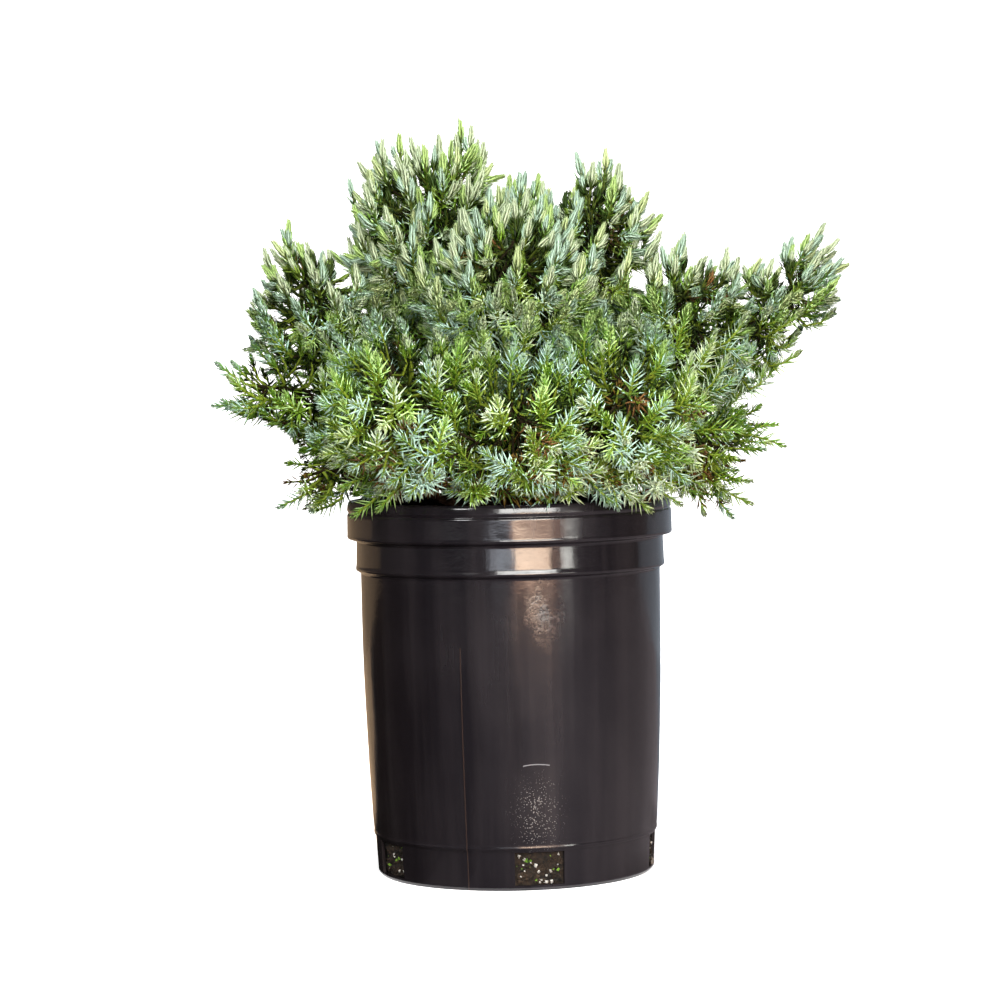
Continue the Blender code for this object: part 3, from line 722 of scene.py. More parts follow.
# Name, centre, lean, half length, half width and the height of the bough on the trunk, in millimetres
MASSES = [
    ("crest_left", (-40, 14, 327), (0.22, 0.05, 1.0), 57, 49, 250),
    ("crest_right", (45, 10, 320), (0.12, 0.00, 1.0), 50, 41, 245),
    ("crown_front", (4, -34, 298), (0.02, -0.45, 0.9), 54, 51, 232),
    ("crown_back", (4, 56, 310), (0.00, 0.40, 0.9), 57, 50, 240),
    ("shoulder_left", (-96, 4, 284), (-0.15, -0.05, 0.95), 52, 39, 222),
    ("shoulder_right", (92, -6, 278), (0.10, 0.00, 0.95), 49, 42, 226),
    ("arm_right", (133, 8, 279), (0.70, 0.05, 0.72), 57, 31, 208),
    ("arm_left", (-106, -12, 247), (-1.00, -0.10, 0.12), 47, 31, 200),
    ("front_left", (-51, -70, 239), (-0.25, -0.70, 0.75), 54, 50, 214),
    ("front_middle", (2, -82, 229), (0.00, -0.90, 0.45), 54, 51, 206),
    ("front_right", (54, -70, 236), (0.25, -0.70, 0.70), 54, 50, 210),
    ("skirt_left", (-80, -30, 211), (-0.85, -0.35, -0.30), 44, 31, 184),
    ("skirt_right", (90, -16, 217), (0.93, -0.20, -0.20), 48, 37, 188),
    ("back_left", (-62, 74, 257), (-0.40, 0.70, 0.75), 58, 50, 218),
    ("back_right", (66, 72, 255), (0.40, 0.70, 0.75), 58, 50, 216),
    ("back_middle", (2, 98, 236), (0.00, 0.95, 0.35), 53, 48, 200),
    ("skirt_back_left", (-92, 40, 224), (-0.90, 0.40, 0.05), 47, 38, 190),
    ("skirt_back_right", (95, 42, 226), (0.90, 0.45, 0.10), 47, 40, 194),
]
NAMES = [row[0] for row in MASSES]
CENTRES = np.array([row[1] for row in MASSES]) * MM
LEANS = np.array([np.array(row[2]) / np.linalg.norm(row[2]) for row in MASSES])
HALF_LENGTHS = np.array([row[3] for row in MASSES]) * MM
HALF_WIDTHS = np.array([row[4] for row in MASSES]) * MM
BOUGH_HEIGHTS = np.array([row[5] for row in MASSES]) * MM
print("masses", len(MASSES))


# %% Vectors and curves
def unit(vector):
    return vector / np.linalg.norm(vector, axis=-1, keepdims=True)


def bend(start, control, end, share):
    """Points of the quadratic curve from start to end that is drawn towards control."""
    share = np.atleast_1d(share)[:, None]
    return (1 - share) ** 2 * start + 2 * share * (1 - share) * control + share**2 * end


def across(tangent, helper):
    """Two unit vectors across each tangent, the first as near to helper as it can be."""
    side = unit(helper - tangent * np.sum(helper * tangent, axis=-1, keepdims=True))
    return side, np.cross(tangent, side)


def orthogonal(vector):
    return np.array(Vector(vector).orthogonal().normalized())


# %% The space of each mass
def depths(points):
    """How far out each point is in every mass: 0 at the centre, 1 on the spheroid."""
    offset = points[:, None, :] - CENTRES
    along = np.sum(offset * LEANS, axis=-1)
    beside = np.linalg.norm(offset - along[..., None] * LEANS, axis=-1)
    return np.hypot(along / HALF_LENGTHS, beside / HALF_WIDTHS)


def spheroid_point(index, direction, share):
    along = direction @ LEANS[index]
    beside = direction - along * LEANS[index]
    scaled = LEANS[index] * along * HALF_LENGTHS[index] + beside * HALF_WIDTHS[index]
    return CENTRES[index] + scaled * share


def clear_of_pot(points, above, beside):
    low = points[:, 2] < POT_HEIGHT + above
    return ~(low & (np.hypot(points[:, 0], points[:, 1]) < RIM_RADIUS + beside))


def limb_distance(points, limbs):
    """Clear distance from each point to the nearest of the limbs, rows of start, end and two radii."""
    starts, ends, low, high = limbs
    run = ends - starts
    offset = points[:, None, :] - starts
    share = np.clip(np.sum(offset * run, axis=-1) / np.sum(run * run, axis=-1), 0, 1)
    gap = np.linalg.norm(offset - share[..., None] * run, axis=-1)
    return np.min(gap - (low + (high - low) * share), axis=1)


# %% Trunk, boughs and stems
BOUGH_RADIUS = 2.9 * MM
BOUGH_TIP_RADIUS = 1.9 * MM
BOUGH_START = 3.5 * MM
CORE_SHARE = 0.80
STEM_SHOWS = 9 * MM
STEM_STRAIGHT = 2 * MM


def trunk_axis(height):
    share = (height - TRUNK_FOOT) / (TRUNK_TOP - TRUNK_FOOT)
    return np.array((0.0, 0.0, height)) + TRUNK_LEAN * share**2


def trunk_radius(height):
    share = (height - TRUNK_FOOT) / (TRUNK_TOP - TRUNK_FOOT)
    flare = ROOT_FLARE * max(0.0, 1 - (height - TRUNK_FOOT) / FLARE_HEIGHT) ** 2
    return TRUNK_RADIUS + (TRUNK_TIP_RADIUS - TRUNK_RADIUS) * share + flare


def bough_curve(index):
    """The bough's first point on the bark, and its curve's start, control and end."""
    root = trunk_axis(BOUGH_HEIGHTS[index])
    outward = (CENTRES[index] - root) * (1, 1, 0)
    level_out = unit(outward)
    start = root + level_out * (trunk_radius(BOUGH_HEIGHTS[index]) + GAP)
    inward = unit(start - CENTRES[index])
    core = CORE_SHARE / depths((CENTRES[index] + inward)[None])[0, index]
    end = CENTRES[index] + inward * (core + STEM_SHOWS)
    first = start + level_out * BOUGH_START
    control = first + level_out * np.linalg.norm(end - first) * 0.5
    return start, first, control, end


def stem_points(index):
    """The stem from just past the bough's tip to the middle of the mass."""
    _, first, control, end = bough_curve(index)
    onward = unit(end - bend(first, control, end, 0.65)[0])
    foot = end + onward * GAP
    return np.array([foot, foot + onward * STEM_STRAIGHT, CENTRES[index]])


def as_limbs(points, radii):
    return points[:-1], points[1:], radii[:-1], radii[1:]


limb_rows = []
heights = np.linspace(TRUNK_FOOT, TRUNK_TOP, 7)
limb_rows.append(
    as_limbs(np.array([trunk_axis(h) for h in heights]), np.array([trunk_radius(h) for h in heights]))
)
for index in range(len(MASSES)):
    start, first, control, end = bough_curve(index)
    points = np.vstack([start, bend(first, control, end, np.array((0.0, 0.3, 0.65, 1.0)))])
    radii = BOUGH_RADIUS + (BOUGH_TIP_RADIUS - BOUGH_RADIUS) * np.array((0.0, 0.0, 0.3, 0.65, 1.0))
    limb_rows.append(as_limbs(points, radii))
LIMBS = [np.concatenate(column) for column in zip(*limb_rows)]
print("limb pieces", len(LIMBS[0]))


# %% [markdown]
# ## Bark
# A juniper's bark is red-brown and peels in long strips. The measured limbs are skinned again with far
# more rings, and every point is pushed in or out by noise that is stretched along the limb, so the
# strips are real relief and not a picture.

# %% Limbs with relief
TRUNK_SIDES = 56
TRUNK_RINGS = 150
BOUGH_SIDES = 20
BOUGH_RINGS = 64
BARK_RELIEF = 0.75 * MM


def barked_limb(points, radii, sides, seed, relief):
    """Vertices and quads of a closed limb whose skin has strips along it."""
    tangents = unit(np.gradient(points, axis=0))
    side, up = across(tangents, orthogonal(tangents[len(tangents) // 2])[None])
    run = np.concatenate([[0], np.cumsum(np.linalg.norm(np.diff(points, axis=0), axis=1))])
    vertices = []
    for row, radius in enumerate(radii):
        for corner in range(sides):
            angle = math.tau * corner / sides + run[row] * 9.0
            ring = Vector((math.cos(angle), math.sin(angle), 0)) * 2.6
            strip = noise.noise(ring + Vector((seed, seed * 0.7, run[row] * 38)))
            fibre = noise.noise(ring * 2.7 + Vector((seed * 1.3, 0, run[row] * 90)))
            push = 1 + (strip + 0.5 * fibre - 0.25) * relief / max(radius, 0.5 * MM)
            angle -= run[row] * 9.0
            around = side[row] * math.cos(angle) + up[row] * math.sin(angle)
            vertices.append(points[row] + around * radius * push)
    faces = ring_quads(len(radii), sides)
    faces.append(tuple(range(sides))[::-1])
    faces.append(tuple(range((len(radii) - 1) * sides, len(radii) * sides)))
    return vertices, faces


bark_points, bark_faces = [], []


def add_limb(points, radii, sides, seed, relief):
    vertices, faces = barked_limb(points, radii, sides, seed, relief)
    offset = len(bark_points)
    bark_points.extend(vertices)
    bark_faces.extend(tuple(corner + offset for corner in face) for face in faces)


heights = np.concatenate([np.linspace(TRUNK_FOOT, TRUNK_TOP - 1 * MM, TRUNK_RINGS), [TRUNK_TOP]])
radii = np.array([trunk_radius(height) for height in heights])
radii[-1] *= 0.55
add_limb(np.array([trunk_axis(height) for height in heights]), radii, TRUNK_SIDES, 1.7, BARK_RELIEF)
for index in range(len(MASSES)):
    start, first, control, end = bough_curve(index)
    curve = bend(first, control, end, np.linspace(0, 1, BOUGH_RINGS))
    points = np.vstack([start, curve])
    share = np.concatenate([[0], np.linspace(0, 1, BOUGH_RINGS)])
    radii = BOUGH_RADIUS + (BOUGH_TIP_RADIUS - BOUGH_RADIUS) * share
    add_limb(points, radii, BOUGH_SIDES, 5.1 + index * 3.3, 0.45 * BARK_RELIEF)
bark_mesh = bpy.data.meshes.new("bark_limbs")
bark_mesh.from_pydata(bark_points, [], bark_faces)
bark_mesh.shade_smooth()

shaded_juniper_bark, tree, shader = new_material("shaded_juniper_bark")
place = tree.nodes.new("ShaderNodeTexCoord").outputs["Object"]
strips = noise_on(tree, place, 260.0, (1.0, 1.0, 0.12), 5.0, 0.65)
# The bark's red-brown is darkened as painted shade, for the depths of the crown where it stands.
stops = [(0.32, (0.016, 0.008, 0.005)), (0.52, (0.065, 0.034, 0.019)), (0.72, (0.15, 0.095, 0.062))]
tree.links.new(ramp(tree, strips, stops), shader.inputs["Base Color"])
shader.inputs["Roughness"].default_value = 0.85
shader.inputs["Specular IOR Level"].default_value = 0.15
add_bump(tree, shader, strips, 0.7, 0.0006)
bark = link_object("bark_limbs", bark_mesh, shaded_juniper_bark)
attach(bark, "root")
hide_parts("trunk", *(f"bough_{name}" for name in NAMES))
print("bark faces", len(bark_mesh.polygons))

# %% [markdown]
# ## Growing the shoots
# Each mass branches twice. Outer leaders end near its spheroid and inner ones fill its middle, and low
# masses have more beneath. Side shoots leave the leaders, at alternate sides low down and in a spiral
# higher up. A shoot that would cross into a neighbour, a limb or the pot is tried shorter or skipped.
# Two tables hold the outline to that of the photograph: the leading shoots, which are grown as they
# stand and not tested, and the open places, which the other shoots keep clear of.


# %% One shoot as a path
class Shoot:
    """A curved shoot from its foot to its tip, which can be read at distances before the tip."""

    def __init__(self, start, control, late, end):
        share = np.linspace(0, 1, 15)[:, None]
        self.points = (
            (1 - share) ** 3 * start
            + 3 * (1 - share) ** 2 * share * control
            + 3 * (1 - share) * share**2 * late
            + share**3 * end
        )
        steps = np.linalg.norm(np.diff(self.points, axis=0), axis=1)
        self.places = np.concatenate([[0.0], np.cumsum(steps)])
        self.length = self.places[-1]
        self.tangents = unit(np.gradient(self.points, axis=0))

    def at(self, from_tip):
        place = self.length - np.atleast_1d(from_tip)
        points = [np.interp(place, self.places, self.points[:, axis]) for axis in range(3)]
        tangents = [np.interp(place, self.places, self.tangents[:, axis]) for axis in range(3)]
        return np.stack(points, 1), unit(np.stack(tangents, 1))


# %% The rule
LEADER_SPACING = 21.5 * MM
LEADER_REACH = (0.76, 0.94)
FURTHEST_REACH = 1.04
SHORTER_TRIES = (1.0, 0.88, 0.76, 0.62)
SHOOT_CURVE = 46 * MM
SPINE_SHARE = 0.42
LIMB_CLEARANCE = 0.6 * MM
ABOVE_RIM = 3.5 * MM
BESIDE_RIM = 13 * MM
SIDE_PLACES = (13.0, 18.5, 25.0, 32.0, 40.0)
LOW_SIDE_PLACES = (23.0, 37.0)
LOW_TIPS = 285 * MM
LOW_MASSES = 270 * MM
LOW_SPACING = 1.24
FACING_CENTRE = np.array((0.0, 60.0, 200.0)) * MM
FACING_WEIGHTS = np.array((0.5, 1.0, 0.4))
OVERLAP = 0.20
INNER_REACH = (0.30, 0.76)
INNER_SPACING = 25.5 * MM
LOW_INNER = 1.04
UNDER_REACH = (0.62, 0.92)
UNDER_SPACING = 34 * MM
TURNED_BELOW = (212 * MM, 250 * MM)
TURNED_ASIDE = (0.6, 1.4)
LEVEL_BELOW = (197 * MM, 222 * MM)
LEVEL_SIDES = (20 * MM, 120 * MM)
UPRIGHT_RISE = 24 * MM
LEAN_LEVEL = (60.0, 94.0)
LEAN_AT_AXIS = 4.0
LEAN_AT_SIDE = 26.0
FORWARD_SHARE = 0.55
SIDE_RADIUS = 150 * MM
NEEDLE_PAST_TIP = 1.6 * MM
PAST_SPHEROID = 1.25
PAST_NEIGHBOUR = 0.50

# Where the sky or the pot shows clear, as ellipses on the upright plane through the pot's middle: centre
# and half sizes
SKY = [
    ((-90, 340), (10, 19)),
    ((-134, 209), (24, 21)),
    ((153, 240), (17, 14)),
    ((140, 202), (17, 6)),
    ((172, 259), (23, 12)),
    ((30, 363), (7, 14)),
    ((12, 371), (10, 13)),
    ((79, 358), (11, 13)),
    ((105, 327), (5, 12)),
    ((133, 324), (7, 13)),
    ((67, 300), (1, 3)),
    ((-103, 245), (2, 5)),
    ((-151, 251), (6, 5)),
    ((-3, 150), (82, 38)),
]
SKY_MARGIN = 4

# The shoots that stand out against the light: x, y and z of the tip in millimetres, and lean to the
# right in degrees
LEADING_SHOOTS = {
    "crest_left": [(-21, 14, 383, -3), (-15, 6, 379, 4), (-9, 20, 372, 10), (-52, 10, 376, 0),
        (-43, 24, 370, 2), (-64, 18, 373, -18), (-73, 10, 362, -30), (-76, 14, 347, -38)],
    "crown_front": [(9, -8, 354, 2)],
    "crown_back": [(21, 40, 351, 14)],
    "crest_right": [(38, 10, 365, -10), (53, 6, 366, 2), (60, 16, 359, 10), (73, 8, 341, 40),
        (81, 2, 332, 46)],
    "shoulder_right": [(91, -6, 322, 4), (113, -4, 314, 2), (118, -12, 309, 8)],
    "arm_right": [(147, 4, 312, 6), (164, 8, 326, 28), (171, 6, 318, 44), (176, 8, 305, 66),
        (171, 4, 287, 76), (170, 12, 280, 84), (150, -8, 262, 52)],
    "skirt_right": [(141, -14, 213, 112), (130, -24, 212, 94), (118, -30, 197, 92),
        (124, -14, 184, 114), (86, -54, 186, 122), (100, -40, 194, 112)],
    "shoulder_left": [(-109, 4, 333, 2), (-103, 12, 321, 4), (-122, 6, 319, -14),
        (-127, 0, 298, -44), (-128, -4, 287, -58)],
    "arm_left": [(-147, -12, 262, -50), (-150, -10, 240, -86), (-129, -14, 266, -14)],
    "skirt_left": [(-112, -34, 211, -84), (-113, -30, 201, -92), (-117, -28, 188, -112),
        (-100, -44, 188, -118)],
    "front_left": [(-78, -66, 184, -126), (-65, -82, 187, -138)],
    "front_right": [(52, -86, 188, 132), (70, -72, 184, 128)],
}


def clear_of_sky(points):
    """True for each point that the camera doesn't see in one of the open places."""
    away = points - np.array(CAMERA_PLACE)
    seen = np.array(CAMERA_PLACE) - away * (CAMERA_PLACE.y / away[:, 1:2])
    clear = np.ones(len(points), bool)
    for centre, half in SKY:
        offset = (seen[:, (0, 2)] / MM - centre) / (np.array(half) + SKY_MARGIN)
        clear &= np.hypot(offset[:, 0], offset[:, 1]) > 1
    return clear


def free(index, points, furthest=FURTHEST_REACH, overlap=OVERLAP):
    """True where every point lies in the mass's own space, clear of neighbours, limbs, pot and sky."""
    depth = depths(points)
    own = depth[:, index]
    others = np.delete(depth, index, axis=1)
    inside = (own < furthest) & (np.min(others, axis=1) > own - overlap)
    clear = clear_of_pot(points, ABOVE_RIM, BESIDE_RIM) & (limb_distance(points, LIMBS) > LIMB_CLEARANCE)
    clear &= clear_of_sky(points)
    return bool(np.all(inside & clear))


def even_directions(count, turn):
    for number in range(count):
        height = 1 - 2 * (number + 0.5) / count
        angle = turn + number * math.pi * (3 - math.sqrt(5))
        ring = math.sqrt(1 - height * height)
        yield np.array((ring * math.cos(angle), ring * math.sin(angle), height))


def facing(place):
    """The way that sprays and whorls turn their faces at a place: outwards, and a little up."""
    return (place - FACING_CENTRE) * FACING_WEIGHTS


def branch(parent, from_tip, swing, azimuth, length):
    """A side shoot that leaves its parent at an angle and curves back towards the growing way."""
    foot, tangent = (row[0] for row in parent.at(from_tip))
    side, up = across(tangent, facing(foot))
    beside = side * math.cos(azimuth) + up * math.sin(azimuth)
    out = unit(tangent * math.cos(swing) + beside * math.sin(swing))
    later = unit(tangent * math.cos(0.3 * swing) + beside * math.sin(0.3 * swing) + 0.35 * growing_way(foot))
    control = foot + out * 0.4 * length
    end = control + later * 0.6 * length
    return Shoot(foot, control, end - later * 0.35 * length, end)


def growing_way(place):
    """The way shoots point at a place: up in the crown, outwards at its sides and level at the rim."""
    out = np.array((place[0], FORWARD_SHARE * place[1], 0.0))
    far = np.linalg.norm(out)
    level_below = np.interp(abs(place[0]), LEVEL_SIDES, LEVEL_BELOW)
    upright = min(1.0, max(0.0, (place[2] - level_below) / UPRIGHT_RISE))
    leaning = LEAN_AT_AXIS + LEAN_AT_SIDE * (far / SIDE_RADIUS) ** 1.3
    level = np.interp(abs(place[0]) / far, (0.3, 0.9), LEAN_LEVEL)
    lean = math.radians(upright * leaning + (1 - upright) * level)
    return out / far * math.sin(lean) + np.array((0.0, 0.0, math.cos(lean)))


def spine_place(index, along, foot):
    """Where on the mass's spine a leader starts, from its foot at -1 to its far end at 1."""
    centre = CENTRES[index]
    spine_end = centre + LEANS[index] * SPINE_SHARE * HALF_LENGTHS[index] if along > 0 else foot
    return centre + (spine_end - centre) * min(1.0, abs(along)) * 0.9


def curved_leader(start, tip, heading):
    curve = min(SHOOT_CURVE, 0.95 * np.linalg.norm(tip - start))
    return Shoot(start, tip - heading * curve, tip - heading * 0.45 * curve, tip)


def grow_leader(index, direction, reach, start, wander, aside):
    """One leader from the mass's spine to its spheroid, as long as its space lets it be."""
    for shorter in SHORTER_TRIES:
        tip = spheroid_point(index, direction, reach * shorter)
        normal = unit(tip - CENTRES[index])
        turned = aside * np.interp(tip[2], TURNED_BELOW, (1, 0)) * unit(np.array((-tip[1], tip[0], 0.0)))
        heading = unit(growing_way(tip) + 0.12 * normal + 0.12 * LEANS[index] + wander + turned)
        leader = curved_leader(start, tip, heading)
        near_tip = leader.at(np.array((0.0, 5.0, 12.0)) * MM)[0]
        low_down = leader.at(np.array((20.0, 30.0)) * MM)[0]
        if free(index, near_tip) and np.all(clear_of_pot(low_down, ABOVE_RIM, BESIDE_RIM)):
            return leader
    return None


def leading_shoots(index, foot):
    """The mass's shoots that stand out against the light, straight from the table."""
    for *tip, lean in LEADING_SHOOTS.get(NAMES[index], []):
        heading = unit(np.array((math.sin(math.radians(lean)), -0.08, math.cos(math.radians(lean)))))
        tip = np.array(tip) * MM - heading * NEEDLE_PAST_TIP
        along = unit(tip - CENTRES[index]) @ LEANS[index]
        yield curved_leader(spine_place(index, along, foot), tip, heading)


def grow_mass(index):
    """All the shoots of one mass."""
    chance = random.Random(f"{SEED} {NAMES[index]} shoots")
    long, wide = HALF_LENGTHS[index], HALF_WIDTHS[index]
    area = 4 * math.pi * wide * (0.6 * long + 0.4 * wide)
    low_mass = CENTRES[index][2] < LOW_MASSES
    foot = stem_points(index)[0]
    plans = []
    spacing = LEADER_SPACING * (LOW_SPACING if low_mass else 1.0)
    inner_spacing = INNER_SPACING * (LOW_INNER if low_mass else 1.0)
    for direction in even_directions(round(area / spacing**2), chance.uniform(0, math.tau)):
        plans.append((direction, chance.uniform(*LEADER_REACH)))
    for direction in even_directions(round(area / inner_spacing**2), chance.uniform(0, math.tau)):
        plans.append((direction, chance.uniform(*INNER_REACH)))
    if low_mass:
        for direction in even_directions(round(area / UNDER_SPACING**2), chance.uniform(0, math.tau)):
            if direction[2] < -0.2:
                plans.append((direction, chance.uniform(*UNDER_REACH)))
    leaders = [(leader, PAST_SPHEROID, PAST_NEIGHBOUR) for leader in leading_shoots(index, foot)]
    for direction, reach in plans:
        wander = np.array([chance.gauss(0, 0.14) for _ in range(3)])
        start = spine_place(index, direction @ LEANS[index] * 0.8 + chance.uniform(-0.5, 0.5), foot)
        aside = chance.choice((-1, 1)) * chance.uniform(*TURNED_ASIDE)
        leader = grow_leader(index, direction, reach, start, wander, aside)
        if leader is not None:
            leaders.append((leader, FURTHEST_REACH, OVERLAP))
    shoots = []
    for leader, furthest, overlap in leaders:
        shoots.append(leader)
        low = leader.points[-1, 2] < LOW_TIPS
        azimuth = chance.choice((-0.5, 0.5)) * math.pi if low else chance.uniform(0, math.tau)
        for place in LOW_SIDE_PLACES if low else SIDE_PLACES:
            azimuth += math.radians(180 if low else 137.5) + chance.uniform(-0.3, 0.3)
            if place * MM > leader.length - 5 * MM:
                break
            length = (0.92 * place - 1.5 if low else 0.80 * place - 2.5) * chance.uniform(0.85, 1.15) * MM
            swing = math.radians(chance.uniform(30, 46))
            side = branch(leader, place * MM, swing, azimuth, length)
            if free(index, side.at(np.array((0.0, 0.4)) * side.length)[0], furthest, overlap):
                shoots.append(side)
    return shoots


SHOOTS = [grow_mass(index) for index in range(len(MASSES))]
print("shoots", sum(len(group) for group in SHOOTS), {n: len(g) for n, g in zip(NAMES, SHOOTS)})

# %% [markdown]
# ## Needles
# This juniper has short awl-shaped needles in whorls of three. Their inner face has a waxy white-blue
# band and their back is plain green, and that contrast makes the plant look silver-blue. High in the
# crown the needles close round the bud, and low down they are longer and splay. Arrays hold all of a
# mass's needles at once, because a loop over single needles would be slow.

# %% Colours of the needles
# Zones run from the soft pale tip of a shoot down to its old, shaded foot. Each has a waxy inner face
# and a green back, in four tints that are dealt out by shoot. The backs are darker than their green
# alone, as painted shade between the needles, and the shade zone is painted shade for the crown's depths.
ZONES = {
    "tip": ((0.42, 0.49, 0.30), (0.22, 0.295, 0.135)),
    "fresh": ((0.61, 0.74, 0.49), (0.14, 0.24, 0.05)),
    "grown": ((0.67, 0.86, 0.58), (0.036, 0.086, 0.005)),
    "old_and_shaded": ((0.21, 0.31, 0.045), (0.055, 0.11, 0.003)),
    "shade": ((0.034, 0.058, 0.007), (0.010, 0.018, 0.002)),
    "dry": ((0.20, 0.10, 0.03), (0.09, 0.04, 0.01)),
}
TINTS = {
    "blue": (0.78, 0.92, 1.14),
    "silver": (0.96, 0.97, 1.0),
    "yellow": (1.00, 1.03, 0.80),
    "leaf": (0.78, 0.95, 0.50),
}
TINTS_LOW = (0.36, 0.30, 0.14, 0.20)
TINTS_HIGH = (0.28, 0.42, 0.12, 0.18)
NEEDLE_MATERIALS = []
for tint, scale in TINTS.items():
    for zone, faces in ZONES.items():
        for side, colour in zip(("wax", "back"), faces):
            shade = tuple(min(1.0, channel * factor) for channel, factor in zip(colour, scale))
            NEEDLE_MATERIALS.append(plain_material(f"needle_{tint}_{zone}_{side}", shade, 0.5, 0.15))
print("needle materials", len(NEEDLE_MATERIALS))

# %% Stations of the whorls along a shoot
TIP_STEP = 0.9 * MM
TIP_LENGTH = 9 * MM
GROWN_LENGTH = 11 * MM
LOW_STRETCH = 0.28
LOW_TIP_SHARE = 0.45
WHORL_STEP = 1.6 * MM
STEP_GROWTH = 0.022
NEEDLED_LENGTH = 46 * MM
STEM_RADIUS = 0.5 * MM
HIGH_TIPS = (242 * MM, 312 * MM)
PALE_PAST_CONE = 1.3 * MM
SPARSE_DEPTH = 0.46
# Depths in the crown below which whorls are darkened as painted shade, to the old colours and, deeper in,
# mostly to the shade colours.
DARK_DEPTH = 0.58
SHADED_OLD_DEPTH = (0.50, 0.76)
DRY_HEIGHTS = (204 * MM, 250 * MM)
DRY_SHARE = 0.20
DRY_DEPTH = 0.86
DEEP_ZONES = (3, 4, 5)
DEEP_WEIGHTS = (0.22, 0.74, 0.04)

# Pairs are the value low in the crown, in millimetres, and what is added at its top
FRESH_PAST_CONE = (8, -2)
GROWN_END = (27, -7)


def mixed(pair, share):
    return pair[0] + pair[1] * share


def whorl_places(length, open_share):
    """Distances of the whorls before a shoot's tip, close at the bud and wider apart further down."""
    places = [0.5 * MM]
    while places[-1] < min(NEEDLED_LENGTH, length - 1 * MM):
        further = (WHORL_STEP + STEP_GROWTH * places[-1]) * (1 + LOW_STRETCH * open_share)
        close = places[-1] < TIP_LENGTH * (1 - (1 - LOW_TIP_SHARE) * open_share)
        places.append(places[-1] + (TIP_STEP * (1 + 0.5 * open_share) if close else further))
    return np.array(places[:-1])


def cone_length(closed):
    """How far down from its tip a shoot's needles stay closed round the bud."""
    return (3 + 9 * closed) * MM


def whorls_of(shoots, chance):
    """Stacks the stations of many shoots into arrays: place, way, spin, distance, tint and zone."""
    groups = []
    for shoot in shoots:
        height = shoot.points[-1, 2]
        high = float(np.interp(height, HIGH_TIPS, (0, 1)))
        from_tip = whorl_places(shoot.length, 1 - high)
        place, way = shoot.at(from_tip)
        inwards = np.min(depths(place), axis=1)
        deep = inwards < DARK_DEPTH
        keep = (inwards > SPARSE_DEPTH) | (np.arange(len(deep)) % 2 == 0)
        count = len(from_tip)
        spin = chance.gauss(0, 0.15) + math.pi / 3 * np.arange(count)
        weights = [low + (top - low) * high for low, top in zip(TINTS_LOW, TINTS_HIGH)]
        tint = chance.choices(range(4), weights)[0]
        closed = 0.65 * high + chance.uniform(0.0, 0.35)
        cone = cone_length(closed)
        pale_end = cone * (0.3 + 0.7 * high) + PALE_PAST_CONE
        fresh_end = cone + mixed(FRESH_PAST_CONE, high) * MM
        grown_end = mixed(GROWN_END, high) * MM * chance.uniform(0.85, 1.25)
        zone = np.searchsorted(np.array((pale_end, fresh_end, grown_end)), from_tip)
        # Painted shade: whorls deep in the crown take the old colours, and the deepest mostly take the shade
        # colours.
        old_and_shaded = inwards < SHADED_OLD_DEPTH[1] + (SHADED_OLD_DEPTH[0] - SHADED_OLD_DEPTH[1]) * high
        zone[old_and_shaded] = np.maximum(zone[old_and_shaded], 3)
        zone[deep] = chance.choices(DEEP_ZONES, DEEP_WEIGHTS)[0]
        if chance.random() < np.interp(height, DRY_HEIGHTS, (DRY_SHARE, 0)):
            zone[inwards < DRY_DEPTH] = 5
        stations = {"place": place, "way": way, "spin": spin, "from_tip": from_tip, "zone": zone}
        for key, value in (("tint", tint), ("closed", closed), ("open", 1 - high)):
            stations[key] = np.full(count, value)
        groups.append({key: value[keep] for key, value in stations.items()})
    return {key: np.concatenate([group[key] for group in groups]) for key in groups[0]}


# %% Awls from the whorls
# A long awl has a waxy face of three triangles and a keeled back of four. The short awls that close
# round the bud, and those deep in the crown, are lozenges of four triangles.
LONG_FACES = np.array([(0, 4, 1), (0, 3, 4), (3, 5, 4), (2, 3, 0), (2, 5, 3), (2, 1, 4), (2, 4, 5)])
LONG_BACKS = np.array([0, 0, 0, 1, 1, 1, 1])
PALER_TIP = np.array([0, 0, 1, 0, 0, 0, 0])
GREEN_FOOT = np.array([1, 1, 0, 0, 0, 0, 0])
SHORT_FACES = np.array([(0, 2, 1), (1, 2, 3), (0, 1, 3), (0, 3, 2)])
SHORT_BACKS = np.array([0, 0, 1, 1])

# Pairs are the value high in the crown, and what is added low down: lengths and widths in millimetres,
# splays in degrees
BUD_LENGTH = (3.1, -0.7)
GROWN_GAIN = (3.7, 2.8)
BUD_WIDTH = (1.25, 0.10)
GROWN_WIDTH = (0.88, 0.24)
BUD_SPLAY = (27, -13)
OPENED_SPLAY = (27, 14)
OUTWARD_SPLAY = 6
SIZE_SPREAD = (0.92, 1.08)


